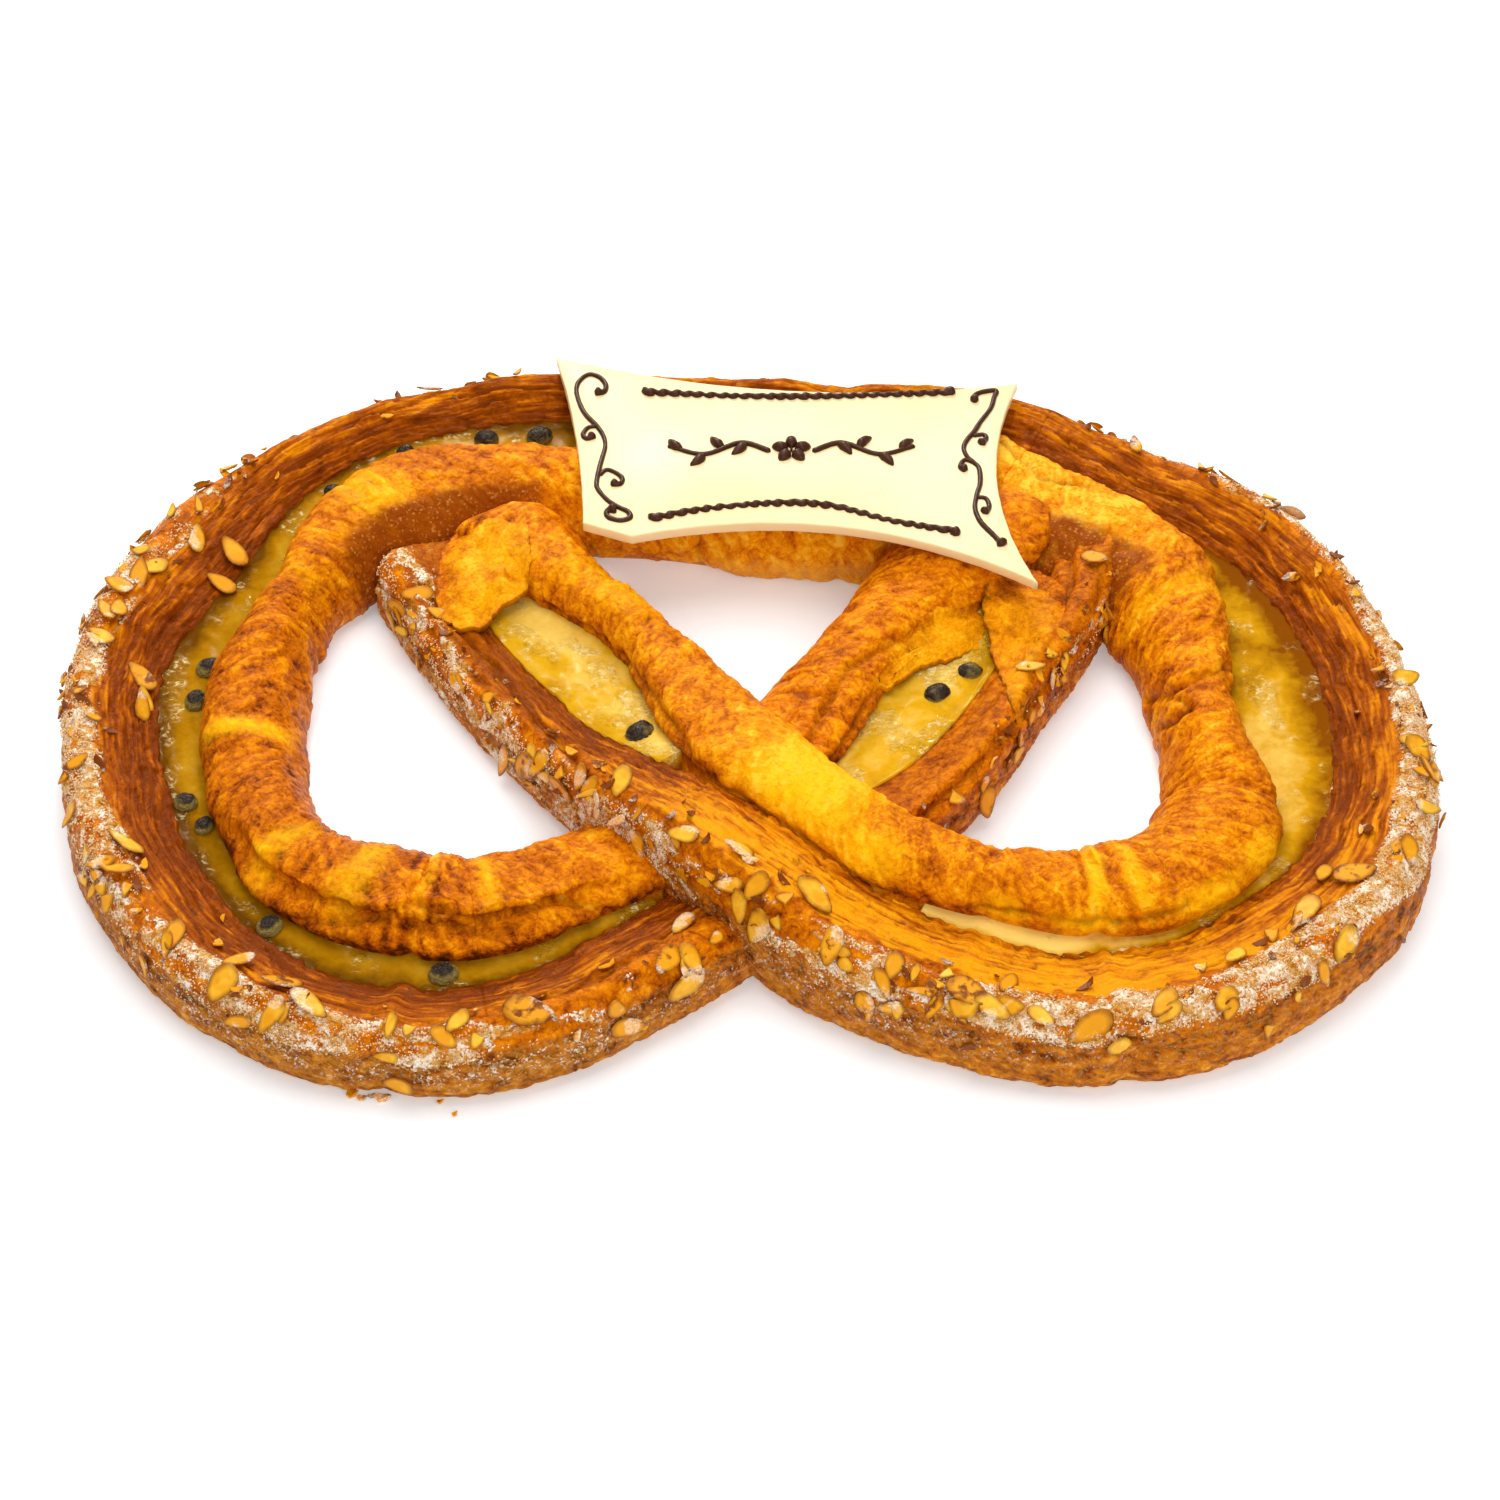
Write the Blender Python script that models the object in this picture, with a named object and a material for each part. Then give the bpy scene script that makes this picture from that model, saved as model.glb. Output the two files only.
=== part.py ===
"""A large kringle: one rope of flaky dough laid as a pretzel, split along its top.

The split shows custard with raisins. The rope's outer edge carries flaked almonds, and a white
chocolate plaque with piped ornament lies across the back. The dough is one baked piece, so the
rope, its folded ends and the almonds that stick to it are one solid. Metres, +Z up, the front
towards -Y, and the origin under the middle of the kringle, on the surface that it lies on.
"""

import math
import random
from typing import NamedTuple

import bmesh
import bpy
import numpy as np
from mathutils import Matrix, Vector, noise

MM = 0.001
GAP = 0.3 * MM  # clear space between touching pieces


class Station(NamedTuple):
    """One cut across the rope, in mm: its middle, its width, and how the width is shared."""

    x: float
    y: float
    width: float
    nut_roll: float  # width of the outer, almond-covered roll
    slot: float  # width of the open split
    nut_top: float  # crest height of the outer roll
    smooth_top: float  # crest height of the inner roll
    lip: float  # height where both rolls meet the custard


# From the end of the right arm, under the crossing, round the ring clockwise, and over the
# crossing to the end of the left arm. The almond roll is on the left of this way.
STATIONS = (
    Station(124, 146, 88, 32, 0, 39, 42, 34),
    Station(106, 102, 101, 28, 12, 36, 41, 27),
    Station(82, 58, 101, 28, 33, 35, 40, 22),
    Station(55, 13, 106, 31, 30, 33, 37, 21),
    Station(-16, -60, 96, 44, 2, 26, 29, 19),
    Station(-56, -92, 102, 43, 8, 32, 36, 21),
    Station(-103, -114, 111, 41, 13, 35, 40, 22),
    Station(-150, -110, 115, 39, 17, 35, 41, 22),
    Station(-194, -88, 101, 42, 12, 35, 40, 22),
    Station(-222, -45, 100, 43, 15, 35, 40, 22),
    Station(-232, 4, 101, 40, 18, 35, 40, 22),
    Station(-233, 54, 101, 41, 25, 35, 40, 22),
    Station(-218, 105, 95, 46, 20, 35, 39, 22),
    Station(-182, 146, 90, 30, 14, 35, 39, 25),
    Station(-130, 173, 92, 26, 15, 35, 38, 27),
    Station(-72, 182, 94, 27, 30, 35, 39.5, 26),
    Station(43, 172, 102, 28, 16, 35, 39.5, 27),
    Station(96, 167, 100, 29, 3, 35, 39, 29),
    Station(143, 143, 96, 36, 0, 36, 39, 30),
    Station(187, 111, 101, 37, 10, 36, 40, 24),
    Station(212, 64, 105, 34, 31, 36, 40, 22),
    Station(222, 12, 110, 38, 40, 36, 40, 22),
    Station(219, -43, 112, 46, 18, 36, 40, 22),
    Station(189, -89, 110, 52, 4, 36, 40, 24),
    Station(141, -111, 110, 52, 9, 36, 40, 23),
    Station(92, -109, 102, 53, 10, 37, 41, 24),
    Station(48, -90, 96, 49, 2, 44, 48, 32),
    Station(12, -60, 92, 45, 0, 50, 54, 40),
    Station(-21, -22, 96, 40, 6, 45, 51, 36),
    Station(-51, 16, 98, 33, 26, 35, 43, 25),
    Station(-81, 55, 95, 33, 33, 29, 40, 22),
    Station(-102, 87, 90, 32, 19, 30, 41, 24),
    Station(-125, 131, 98, 42, 0, 36, 42, 31),
)
ORIGIN = (-4, 29)  # the middle of the whole in these coordinates, in mm; it ends up at 0, 0
JOIN_STATION = 17.4  # the two halves of the rope meet here, under the plaque
UPPER_BASE = 0.4 * MM  # the half that crosses over has its base this much higher

# Dough rope.
CUSTARD_DEPTH = 12 * MM  # the bed of an open split lies this far below its lips
CREASE_DEPTH = 3 * MM  # the same where the split is shut
OPEN_SLOT = 7 * MM  # a split this wide has its full depth
SHUT_SLOT = 1.4 * MM
BASE_INSET = 6 * MM  # the edges curl in this far to the flat base
END_ROUND = 24 * MM  # length over which an end of the rope closes
END_SHARE = 0.3  # what is left of the section at the very end
STATION_STEP = 13 * MM
ROLL_POINTS = 9  # points across each roll of a section
UNEVENNESS = 1.5 * MM  # how far widths and heights wander

# Where the smooth roll is pinched from its inner side: station, depth in mm, length in mm.
PINCHES = (
    (5.3, 2.2, 9),
    (6.6, 6.0, 7),
    (7.6, 2.0, 12),
    (9.4, 2.0, 14),
    (11.4, 2.6, 12),
    (13.1, 2.0, 10),
    (16.0, 3.5, 10),
    (19.5, 2.0, 12),
    (20.7, 3.2, 12),
    (22.0, 3.0, 12),
    (24.1, 5.0, 7),
    (25.1, 2.4, 8),
    (29.5, 2.4, 12),
)
# A tongue of dough lies under the smooth roll here, beside the custard: first and last station.
TONGUE_SPAN = (5.2, 8.2)

# Folds of dough at the ends of the arms, in mm: middle, half sizes, and turn in degrees.
FOLDS = (
    ((-113, 96, 32), (31, 23, 9), -35),  # a flap over the end of the left arm's split
    ((78, 54, 21), (31, 9, 8), 49),  # a sheet over one side of the right arm's split
    ((108, 52, 28), (32, 7, 8), -78),  # a ridge along the other side of it
)

# The stretches of the split that show custard: node name, and first and last station.
CUSTARD_SPANS = (
    ("custard_right_arm", 1.2, 3.6),
    ("custard_left_ring", 4.6, 16.9),
    ("custard_right_ring", 19.0, 25.6),
    ("custard_left_arm", 28.2, 31.3),
)
# Stretches whose dough runs over or under the custard of the other half of the rope.
CROSSING_SPANS = ((3.0, 5.0), (11.5, 15.2), (17.5, 20.0), (25.8, 29.4))

# Raisins in the custard: station, mm from the rope's middle to the almond side, length in mm,
# and turn in degrees.
RAISINS = (
    (10.85, -8.0, 12, 20),
    (10.45, -4.4, 11, 75),
    (9.28, 1.2, 10, 0),
    (8.98, -3.2, 9, 60),
    (7.76, 5.0, 11, 40),
    (6.32, 9.0, 12, 10),
    (28.66, 5.0, 14, 60),
    (2.48, 9.5, 12, 35),
    (2.14, 15.5, 11, 0),
    (13.08, 8.0, 8, 30),
    (13.69, 14.0, 9, 50),
    (14.27, 11.5, 11, 0),
    (14.65, 10.0, 12, 25),
)
RAISIN_RISE = 0.1  # a raisin's middle lies this share of its length above the custard

# Flaked almonds.
FLAKE_LENGTH = 16 * MM
FLAKE_WIDTH = 9 * MM
FLAKE_THICKNESS = 1.3 * MM
FLAKE_SIDES = 6
FLAKE_LEAN = 0.35  # the most that a flake leans out of the dough, in radians
# The flakes that stand out: station, share over the almond roll, turn in degrees, length in mm.
FLAKES = (
    (12.0, 0.7, 30, 12),
    (11.5, 0.6, 15, 13),
    (10.85, 0.58, 80, 10),
    (11.6, 0.64, 140, 12),
    (8.8, 0.65, 20, 17),
    (8.6, 0.54, 35, 16),
    (8.02, 0.56, 120, 13),
    (7.6, 0.5, 80, 15),
    (7.3, 0.67, 30, 15),
    (7.06, 0.58, 150, 18),
    (7.25, 0.48, 70, 15),
    (7.45, 0.38, 20, 11),
    (7.62, 0.66, 50, 12),
    (8.7, 0.5, 60, 12),
    (8.85, 0.46, 100, 10),
    (6.5, 0.22, 10, 13),
    (6.1, 0.48, 60, 9),
    (5.85, 0.55, 150, 18),
    (5.37, 0.28, 160, 13),
    (5.0, 0.5, 20, 15),
    (4.85, 0.45, 80, 13),
    (4.95, 0.35, 10, 17),
    (4.7, 0.67, 20, 13),
    (29.06, 0.38, 40, 17),
    (29.36, 0.25, 80, 16),
    (28.6, 0.5, 60, 10),
    (28.55, 0.42, 140, 13),
    (28.2, 0.48, 120, 9),
    (27.6, 0.42, 110, 11),
    (26.87, 0.66, 30, 12),
    (26.55, 0.56, 70, 13),
    (26.6, 0.46, 100, 14),
    (26.42, 0.42, 70, 17),
    (26.3, 0.58, 10, 10),
    (26.2, 0.68, 160, 17),
    (25.9, 0.5, 100, 15),
    (25.6, 0.3, 110, 12),
    (25.15, 0.56, 30, 9),
    (25.0, 0.5, 170, 17),
    (25.02, 0.43, 10, 13),
    (24.85, 0.46, 160, 14),
    (24.57, 0.46, 150, 11),
    (24.3, 0.43, 30, 17),
    (24.15, 0.33, 140, 14),
    (23.9, 0.5, 40, 13),
    (23.6, 0.46, 20, 12),
    (23.4, 0.27, 70, 9),
    (23.4, 0.66, 20, 11),
    (23.1, 0.69, 50, 10),
    (22.97, 0.66, 0, 11),
    (22.85, 0.68, 20, 17),
    (22.45, 0.66, 130, 16),
    (22.88, 0.43, 20, 15),
    (21.47, 0.56, 70, 12),
    (21.65, 0.5, 40, 13),
    (21.9, 0.48, 120, 13),
    (20.87, 0.54, 110, 13),
    (22.2, 0.5, 30, 12),
    (19.05, 0.54, 30, 10),
    (19.13, 0.48, 100, 10),
    (18.8, 0.5, 10, 12),
    (3.05, 0.25, 80, 14),
    (12.4, 0.5, 20, 13),
    (9.6, 0.52, 80, 12),
    (9.2, 0.44, 100, 12),
)
SMALL_FLAKES = 14  # spread over the rest of the almond roll
SMALL_FLAKE_SEED = 11
FLAKE_FREE_SPANS = ((3.6, 4.8), (14.6, 17.6))  # under the crossing, and under the plaque

# Plaque, in mm. Its outline is a ring of corners, with how far each side curves in to the next.
PLAQUE_CORNERS = (
    ((-87, 227), 15),
    ((119, 207), 13),
    ((120, 68), 22),
    ((-50, 99), 0),
    ((-71, 108), 3),
)
PLAQUE_SIDE_STEP = 16
PLAQUE_THICKNESS = 5 * MM
PLAQUE_CHAMFER = 0.8
PLAQUE_LEVEL = 41.5 * MM  # height of its lower face above y = PLAQUE_Y
PLAQUE_Y = 150 * MM
PLAQUE_SLOPE = 0.05  # it falls this much towards the back

# Piping on the plaque, in mm.
PIPING_RADIUS = 1.5
PIPING_SIDES = 3
PIPING_STEP = 8
TOP_BORDER = ((-48, 200), (22, 196), (91, 200))
BOTTOM_BORDER = ((-42, 111), (12, 121), (48, 116), (88, 101))
LEFT_STEM = (
    (-67, 202),
    (-65, 207),
    (-72, 213),
    (-77, 203),
    (-73, 188),
    (-66, 173),
    (-64, 156),
    (-66, 138),
    (-60, 123),
    (-52, 115),
    (-58, 110),
)
RIGHT_STEM = (
    (101, 194),
    (101, 200),
    (108, 201),
    (106, 189),
    (98, 172),
    (94, 157),
    (98, 145),
    (97, 127),
    (98, 109),
    (107, 92),
)
# Curls off the stems: middle x and y, radius, where the curl starts in degrees, and its hand.
CURLS = (
    (-70, 170, 3.6, 40, 1),
    (-58.5, 139, 4.2, 160, -1),
    (101, 166, 3.6, 150, -1),
    (92, 147, 3.6, 20, 1),
    (101, 119, 4.2, 150, -1),
)
# The sprig in the middle: a flower, with a leafy stem on each side of it.
SPRIG_MIDDLE = (18, 158)
SPRIG_STEM = ((9, -1), (22, 5), (38, -3), (54, 3))
LEAF_PLACES = (0.25, 0.45, 0.65, 0.85)
LEAF_LENGTH = 10
PETALS = 5
PETAL_LENGTH = 9


def clear_scene():
    for obj in list(bpy.data.objects):
        bpy.data.objects.remove(obj)


def material(name, color, roughness):
    made = bpy.data.materials.new(name)
    made.use_nodes = True
    shader = made.node_tree.nodes["Principled BSDF"]
    shader.inputs["Base Color"].default_value = (*color, 1.0)
    shader.inputs["Roughness"].default_value = roughness
    shader.inputs["Metallic"].default_value = 0.0
    return made


def object_of(name, vertices, faces, finish):
    """A closed mesh of triangles whose faces point outwards, in an object of its own."""
    mesh = bpy.data.meshes.new(name)
    mesh.from_pydata([tuple(v) for v in vertices], [], faces)
    mesh.materials.append(finish)
    shape = bmesh.new()
    shape.from_mesh(mesh)
    bmesh.ops.recalc_face_normals(shape, faces=shape.faces)
    bmesh.ops.triangulate(shape, faces=shape.faces)
    shape.to_mesh(mesh)
    shape.free()
    obj = bpy.data.objects.new(name, mesh)
    bpy.context.scene.collection.objects.link(obj)
    return obj


def loft(name, rings, finish):
    """Joins rings of equally many points, one after the other, and closes both ends."""
    size = len(rings[0])
    faces = [
        (
            i * size + j,
            i * size + (j + 1) % size,
            (i + 1) * size + (j + 1) % size,
            (i + 1) * size + j,
        )
        for i in range(len(rings) - 1)
        for j in range(size)
    ]
    faces.append(tuple(range(size)))
    faces.append(tuple(range((len(rings) - 1) * size, len(rings) * size)))
    return object_of(name, [point for ring in rings for point in ring], faces, finish)


def cubic_through(knots, values, at):
    """A natural cubic spline through the values at the knots, read at the given places."""
    count = len(knots)
    gaps = np.diff(knots)
    system = np.eye(count)
    right = np.zeros(count)
    for i in range(1, count - 1):
        system[i, i - 1 : i + 2] = gaps[i - 1], 2 * (gaps[i - 1] + gaps[i]), gaps[i]
        rise = (values[i + 1] - values[i]) / gaps[i]
        right[i] = 6 * (rise - (values[i] - values[i - 1]) / gaps[i - 1])
    bend = np.linalg.solve(system, right)
    k = np.clip(np.searchsorted(knots, at) - 1, 0, count - 2)
    before, after, gap = at - knots[k], knots[k + 1] - at, gaps[k]
    return (
        (bend[k] * after**3 + bend[k + 1] * before**3) / (6 * gap)
        + (values[k] / gap - bend[k] * gap / 6) * after
        + (values[k + 1] / gap - bend[k + 1] * gap / 6) * before
    )


def smooth_through(points, count):
    """Evenly spaced points on a Catmull-Rom curve through the given points."""
    points = np.asarray(points, float)
    ends = np.vstack([2 * points[0] - points[1], points, 2 * points[-1] - points[-2]])
    t = np.linspace(0, 1, 6, endpoint=False)[:, None]
    fine = []
    for p0, p1, p2, p3 in zip(ends, ends[1:], ends[2:], ends[3:]):
        square = (2 * p0 - 5 * p1 + 4 * p2 - p3) * t**2
        cube = (3 * p1 - p0 - 3 * p2 + p3) * t**3
        fine.append(0.5 * (2 * p1 + (p2 - p0) * t + square + cube))
    fine = np.vstack([*fine, points[-1:]])
    along = np.r_[0, np.cumsum(np.linalg.norm(np.diff(fine, axis=0), axis=1))]
    even = np.linspace(0, along[-1], count)
    return np.column_stack([np.interp(even, along, column) for column in fine.T])


def wander(at, seed, size):
    """Slow noise along the rope, between about -1 and 1."""
    return 2 * noise.noise(Vector((at / size, seed, 0.5)))


def swell(value, start, end, ramp):
    """1 between start and end, falling smoothly to 0 over the ramp outside them."""
    inside = min(value - start, end - value) / ramp + 1
    share = min(1.0, max(0.0, inside))
    return share * share * (3 - 2 * share)


class Rope:
    """The rope of dough: reads its middle, widths and heights at any length along it."""

    def __init__(self):
        self.table = np.array(STATIONS, float) * MM
        steps = np.linalg.norm(np.diff(self.table[:, :2], axis=0), axis=1)
        self.knots = np.r_[0, np.cumsum(steps)]
        self.length = self.knots[-1]
        self.join = self.at_station(JOIN_STATION)

    def at_station(self, station):
        """Length along the rope at a station number, which may fall between two stations."""
        return float(np.interp(station, range(len(self.knots)), self.knots))

    def station_at(self, at):
        return float(np.interp(at, self.knots, range(len(self.knots))))

    def cuts(self, start, end):
        """The lengths between start and end at which the solids have a section."""
        half = round(self.join / STATION_STEP), round((self.length - self.join) / STATION_STEP)
        first = np.linspace(0, self.join, half[0] + 1)
        second = np.linspace(self.join, self.length, half[1] + 1)
        return [at for at in (*first, *second[1:]) if start <= at <= end]

    def base(self, at):
        """The second half, which crosses over the first, stands a little higher."""
        return UPPER_BASE if at > self.join else 0.0

    def read(self, column, at):
        return cubic_through(self.knots, self.table[:, column], np.asarray(at, float))

    def middle(self, at):
        return np.array([float(self.read(0, at)), float(self.read(1, at))])

    def left(self, at):
        """Unit vector to the almond side, square to the rope."""
        along = self.middle(at + MM) - self.middle(at - MM)
        along /= np.linalg.norm(along)
        return np.array([-along[1], along[0]])

    def point(self, at, across, height):
        """The point this far to the almond side of the rope's middle, at this height."""
        x, y = self.middle(at) + self.left(at) * across
        return Vector((x, y, height + self.base(at)))

    def end_share(self, at):
        """1 along the rope, falling in a blunt dome to a small cap at each end."""
        edge = min(at, self.length - at)
        if edge >= END_ROUND:
            return 1.0
        return max(END_SHARE, (1 - (1 - max(edge, 0) / END_ROUND) ** 3) ** (1 / 3))

    def pinch(self, at):
        """How far the smooth roll is pinched in at this length."""
        depth = 0.0
        for station, deep, long in PINCHES:
            away = (at - self.at_station(station)) / (long * MM)
            depth += deep * MM * math.exp(-4 * away * away)
        return depth


def nut_side(nut, top, lip):
    """The almond roll's outline from the base to the custard: (offset, height) rows.

    Its crest is near the outer edge, and a long slope of layers falls to the custard.
    """
    fall = top - lip
    return [
        (BASE_INSET, 0),
        (0.2 * BASE_INSET, 0.13 * top),
        (0, 0.36 * top),
        (0.02 * nut, 0.62 * top),
        (0.08 * nut, 0.86 * top),
        (0.22 * nut, top),
        (0.4 * nut, top - 0.08 * fall),
        (0.62 * nut, top - 0.38 * fall),
        (0.84 * nut, top - 0.78 * fall),
        (nut, lip),
    ]


def smooth_side(start, smooth, top, lip, tongue):
    """The smooth roll's outline from the custard over its puffy crest to the base."""
    width = start + smooth
    rise = top - lip
    return [
        (start, lip),
        (start - 1.5 * MM, lip + 0.32 * rise),
        (start + (0.03 + 0.13 * tongue) * smooth, lip + (0.68 - 0.1 * tongue) * rise),
        (start + 0.15 * smooth, top - 0.1 * rise),
        (start + 0.32 * smooth, top),
        (start + 0.52 * smooth, 0.985 * top),
        (start + 0.74 * smooth, 0.88 * top),
        (start + 0.91 * smooth, 0.64 * top),
        (width, 0.37 * top),
        (width - 0.2 * BASE_INSET, 0.13 * top),
        (width - BASE_INSET, 0),
    ]


def section(rope, at):
    """The rope cut across at this length: (distance to the almond side, height) rows.

    It runs from the base up over the almond roll, through the custard channel, and over the
    smooth roll back to the base.
    """
    width, nut, slot, nut_top, smooth_top, lip = (float(rope.read(c, at)) for c in range(2, 8))
    slot = max(slot, SHUT_SLOT)
    pinch = rope.pinch(at)
    width += UNEVENNESS * wander(at, 3.1, 34 * MM) - pinch
    nut_top += UNEVENNESS * wander(at, 7.7, 26 * MM)
    smooth_top += UNEVENNESS * wander(at, 1.3, 30 * MM) - 0.5 * pinch
    open_share = min(1.0, (slot - SHUT_SLOT) / (OPEN_SLOT - SHUT_SLOT))
    bed = lip - CREASE_DEPTH - (CUSTARD_DEPTH - CREASE_DEPTH) * open_share
    tongue = swell(rope.station_at(at), *TONGUE_SPAN, 0.6)
    start = nut + slot
    rows = np.vstack(
        [
            smooth_through(nut_side(nut, nut_top, lip), ROLL_POINTS),
            [(nut, bed), (start, bed)],
            smooth_through(smooth_side(start, width - start, smooth_top, lip, tongue), ROLL_POINTS),
        ]
    )
    rows[:, 0] = width / 2 - rows[:, 0]
    return rows * rope.end_share(at)


def strand(rope, name, start, end, finish, plug=0):
    """A solid stretch of the rope. plug is -1 or 1 where its start or end sits in its twin."""
    places = rope.cuts(start, end)
    shares = [1.0] * len(places)
    if plug > 0:
        places.append(end + 10 * MM)
        shares.append(0.92)
    if plug < 0:
        places[0] += 4 * MM
        places.insert(0, start - 6 * MM)
        shares.insert(0, 0.95)
    core = 0.5 * STATIONS[0].nut_top * MM  # a plug shrinks towards this height
    rings = []
    for at, share in zip(places, shares):
        rows = section(rope, at)
        half = UPPER_BASE if plug < 0 else 0.0
        rings.append(
            [
                rope.point(at, across * share, core + (height - core) * share)
                + Vector((0, 0, half - rope.base(at)))
                for across, height in rows
            ]
        )
    return loft(name, rings, finish)


def lump(name, centre, radii, turn, finish):
    """A fold or bulge of dough, or a raisin: a squashed ball, turned about Z."""
    shape = bmesh.new()
    bmesh.ops.create_icosphere(shape, subdivisions=2, radius=1)
    size = Matrix.Diagonal((*radii, 1))
    shape.transform(Matrix.Translation(centre) @ Matrix.Rotation(turn, 4, "Z") @ size)
    mesh = bpy.data.meshes.new(name)
    shape.to_mesh(mesh)
    shape.free()
    mesh.materials.append(finish)
    obj = bpy.data.objects.new(name, mesh)
    bpy.context.scene.collection.objects.link(obj)
    return obj


def fold(place, swelling, finish):
    """One of the folds, this much larger all round."""
    centre, radii, turn = place
    sizes = [radius * MM + swelling for radius in radii]
    return lump("fold", Vector(centre) * MM, sizes, math.radians(turn), finish)


def on_nut_roll(rope, at, share):
    """A point on the almond roll. share runs over it from 0 at the base to 1 at the lip."""
    rows = section(rope, at)[:ROLL_POINTS]
    across, height = (
        float(np.interp(share * (ROLL_POINTS - 1), range(ROLL_POINTS), rows[:, k])) for k in (0, 1)
    )
    return rope.point(at, across, height)


def flake_places(rope):
    """Where each almond flake lies: length along the rope, share over the roll, turn, lean, size.

    The small ones are spread evenly along the rope, each moved a little by a seeded draw.
    """
    draw = random.Random(SMALL_FLAKE_SEED)
    for station, share, turn, long in FLAKES:
        lean = draw.uniform(-FLAKE_LEAN, FLAKE_LEAN)
        yield rope.at_station(station), share, math.radians(turn), lean, long * MM / FLAKE_LENGTH
    step = rope.length / SMALL_FLAKES
    for i in range(SMALL_FLAKES):
        at = (i + 0.5 + draw.uniform(-0.3, 0.3)) * step
        share = draw.uniform(0.34, 0.64)
        turn = draw.uniform(0, math.pi)
        lean = draw.uniform(-FLAKE_LEAN, FLAKE_LEAN)
        size = draw.uniform(0.6, 0.8)
        station = rope.station_at(at)
        if not any(start < station < end for start, end in FLAKE_FREE_SPANS):
            yield at, share, turn, lean, size


def flake(rope, name, place, finish):
    """A pointed oval slice of almond that leans into the dough."""
    at, share, turn, lean, size = place
    point = on_nut_roll(rope, at, share)
    along = (on_nut_roll(rope, at + 3 * MM, share) - on_nut_roll(rope, at - 3 * MM, share)).normalized()
    over = (on_nut_roll(rope, at, share + 0.04) - on_nut_roll(rope, at, share - 0.04)).normalized()
    normal = along.cross(over).normalized()
    if normal.z < 0:
        normal = -normal
    lie = Matrix((along, normal.cross(along), normal)).transposed().to_4x4()
    spin = Matrix.Rotation(turn, 4, "Z") @ Matrix.Rotation(lean, 4, "Y")
    matrix = Matrix.Translation(point + normal * 0.35 * FLAKE_THICKNESS) @ lie @ spin
    outline = []
    for k in range(FLAKE_SIDES):
        angle = 2 * math.pi * k / FLAKE_SIDES
        narrowing = 1 - 0.25 * math.cos(angle)
        x = 0.5 * FLAKE_LENGTH * size * math.cos(angle)
        outline.append((x, 0.5 * FLAKE_WIDTH * size * narrowing * math.sin(angle)))
    half = 0.5 * FLAKE_THICKNESS
    rings = [[matrix @ Vector((x, y, side)) for x, y in outline] for side in (-half, half)]
    return loft(name, rings, finish)


def boolean(first, others, operation):
    """One Boolean of the first piece with all the others, applied. Returns the new mesh."""
    group = bpy.data.collections.new("operands")
    bpy.context.scene.collection.children.link(group)
    for piece in others:
        bpy.context.scene.collection.objects.unlink(piece)
        group.objects.link(piece)
    join = first.modifiers.new("join", "BOOLEAN")
    join.operation = operation
    join.operand_type = "COLLECTION"
    join.collection = group
    join.solver = "MANIFOLD"
    graph = bpy.context.evaluated_depsgraph_get()
    mesh = bpy.data.meshes.new_from_object(first.evaluated_get(graph))
    first.modifiers.remove(join)
    for piece in others:
        bpy.context.scene.collection.objects.link(piece)
    bpy.data.collections.remove(group)
    return mesh


def largest_part(mesh):
    """Drops all but the largest connected part of a mesh: loose scraps and sealed hollows."""
    shape = bmesh.new()
    shape.from_mesh(mesh)
    unseen = set(shape.verts)
    largest = set()
    while unseen:
        island, edge = set(), [unseen.pop()]
        while edge:
            vert = edge.pop()
            island.add(vert)
            others = {link.other_vert(vert) for link in vert.link_edges} & unseen
            unseen -= others
            edge.extend(others)
        if len(island) > len(largest):
            largest = island
    loose = [v for v in shape.verts if v not in largest]
    bmesh.ops.delete(shape, geom=loose, context="VERTS")
    shape.to_mesh(mesh)
    shape.free()


def remade(name, mesh, finish):
    """An object with the result of a Boolean as its mesh."""
    mesh.name = name
    mesh.materials.clear()
    mesh.materials.append(finish)
    mesh.polygons.foreach_set("material_index", [0] * len(mesh.polygons))
    largest_part(mesh)
    obj = bpy.data.objects.new(name, mesh)
    bpy.context.scene.collection.objects.link(obj)
    return obj


def united(name, pieces, finish):
    mesh = boolean(pieces[0], pieces[1:], "UNION")
    for piece in pieces:
        bpy.data.objects.remove(piece)
    return remade(name, mesh, finish)


def carved(piece, cutters):
    name, finish = piece.name, piece.data.materials[0]
    mesh = boolean(piece, cutters, "DIFFERENCE")
    bpy.data.objects.remove(piece)
    return remade(name, mesh, finish)


def build_pastry(rope, finish):
    pieces = [
        strand(rope, "first_half", 0, rope.join, finish, plug=1),
        strand(rope, "second_half", rope.join, rope.length, finish, plug=-1),
    ]
    pieces += [fold(place, 0.0, finish) for place in FOLDS]
    for i, place in enumerate(flake_places(rope)):
        pieces.append(flake(rope, f"flake_{i}", place, finish))
    return united("pastry", pieces, finish)


def custard_strip(rope, name, start, end, finish):
    """Custard that fills the channel between two stations, a gap clear of the dough."""
    rings = []
    for at in rope.cuts(rope.at_station(start), rope.at_station(end)):
        rows = section(rope, at)
        (nut_wall, bed), (smooth_wall, _) = rows[ROLL_POINTS], rows[ROLL_POINTS + 1]
        nut_wall, smooth_wall = nut_wall - GAP, smooth_wall + GAP
        floor = bed + GAP + UPPER_BASE
        top = rows[ROLL_POINTS - 1, 1]
        ring = ((nut_wall, floor), (nut_wall, top), (smooth_wall, top), (smooth_wall, floor))
        rings.append([rope.point(at, across, height) for across, height in ring])
    return loft(name, rings, finish)


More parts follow.
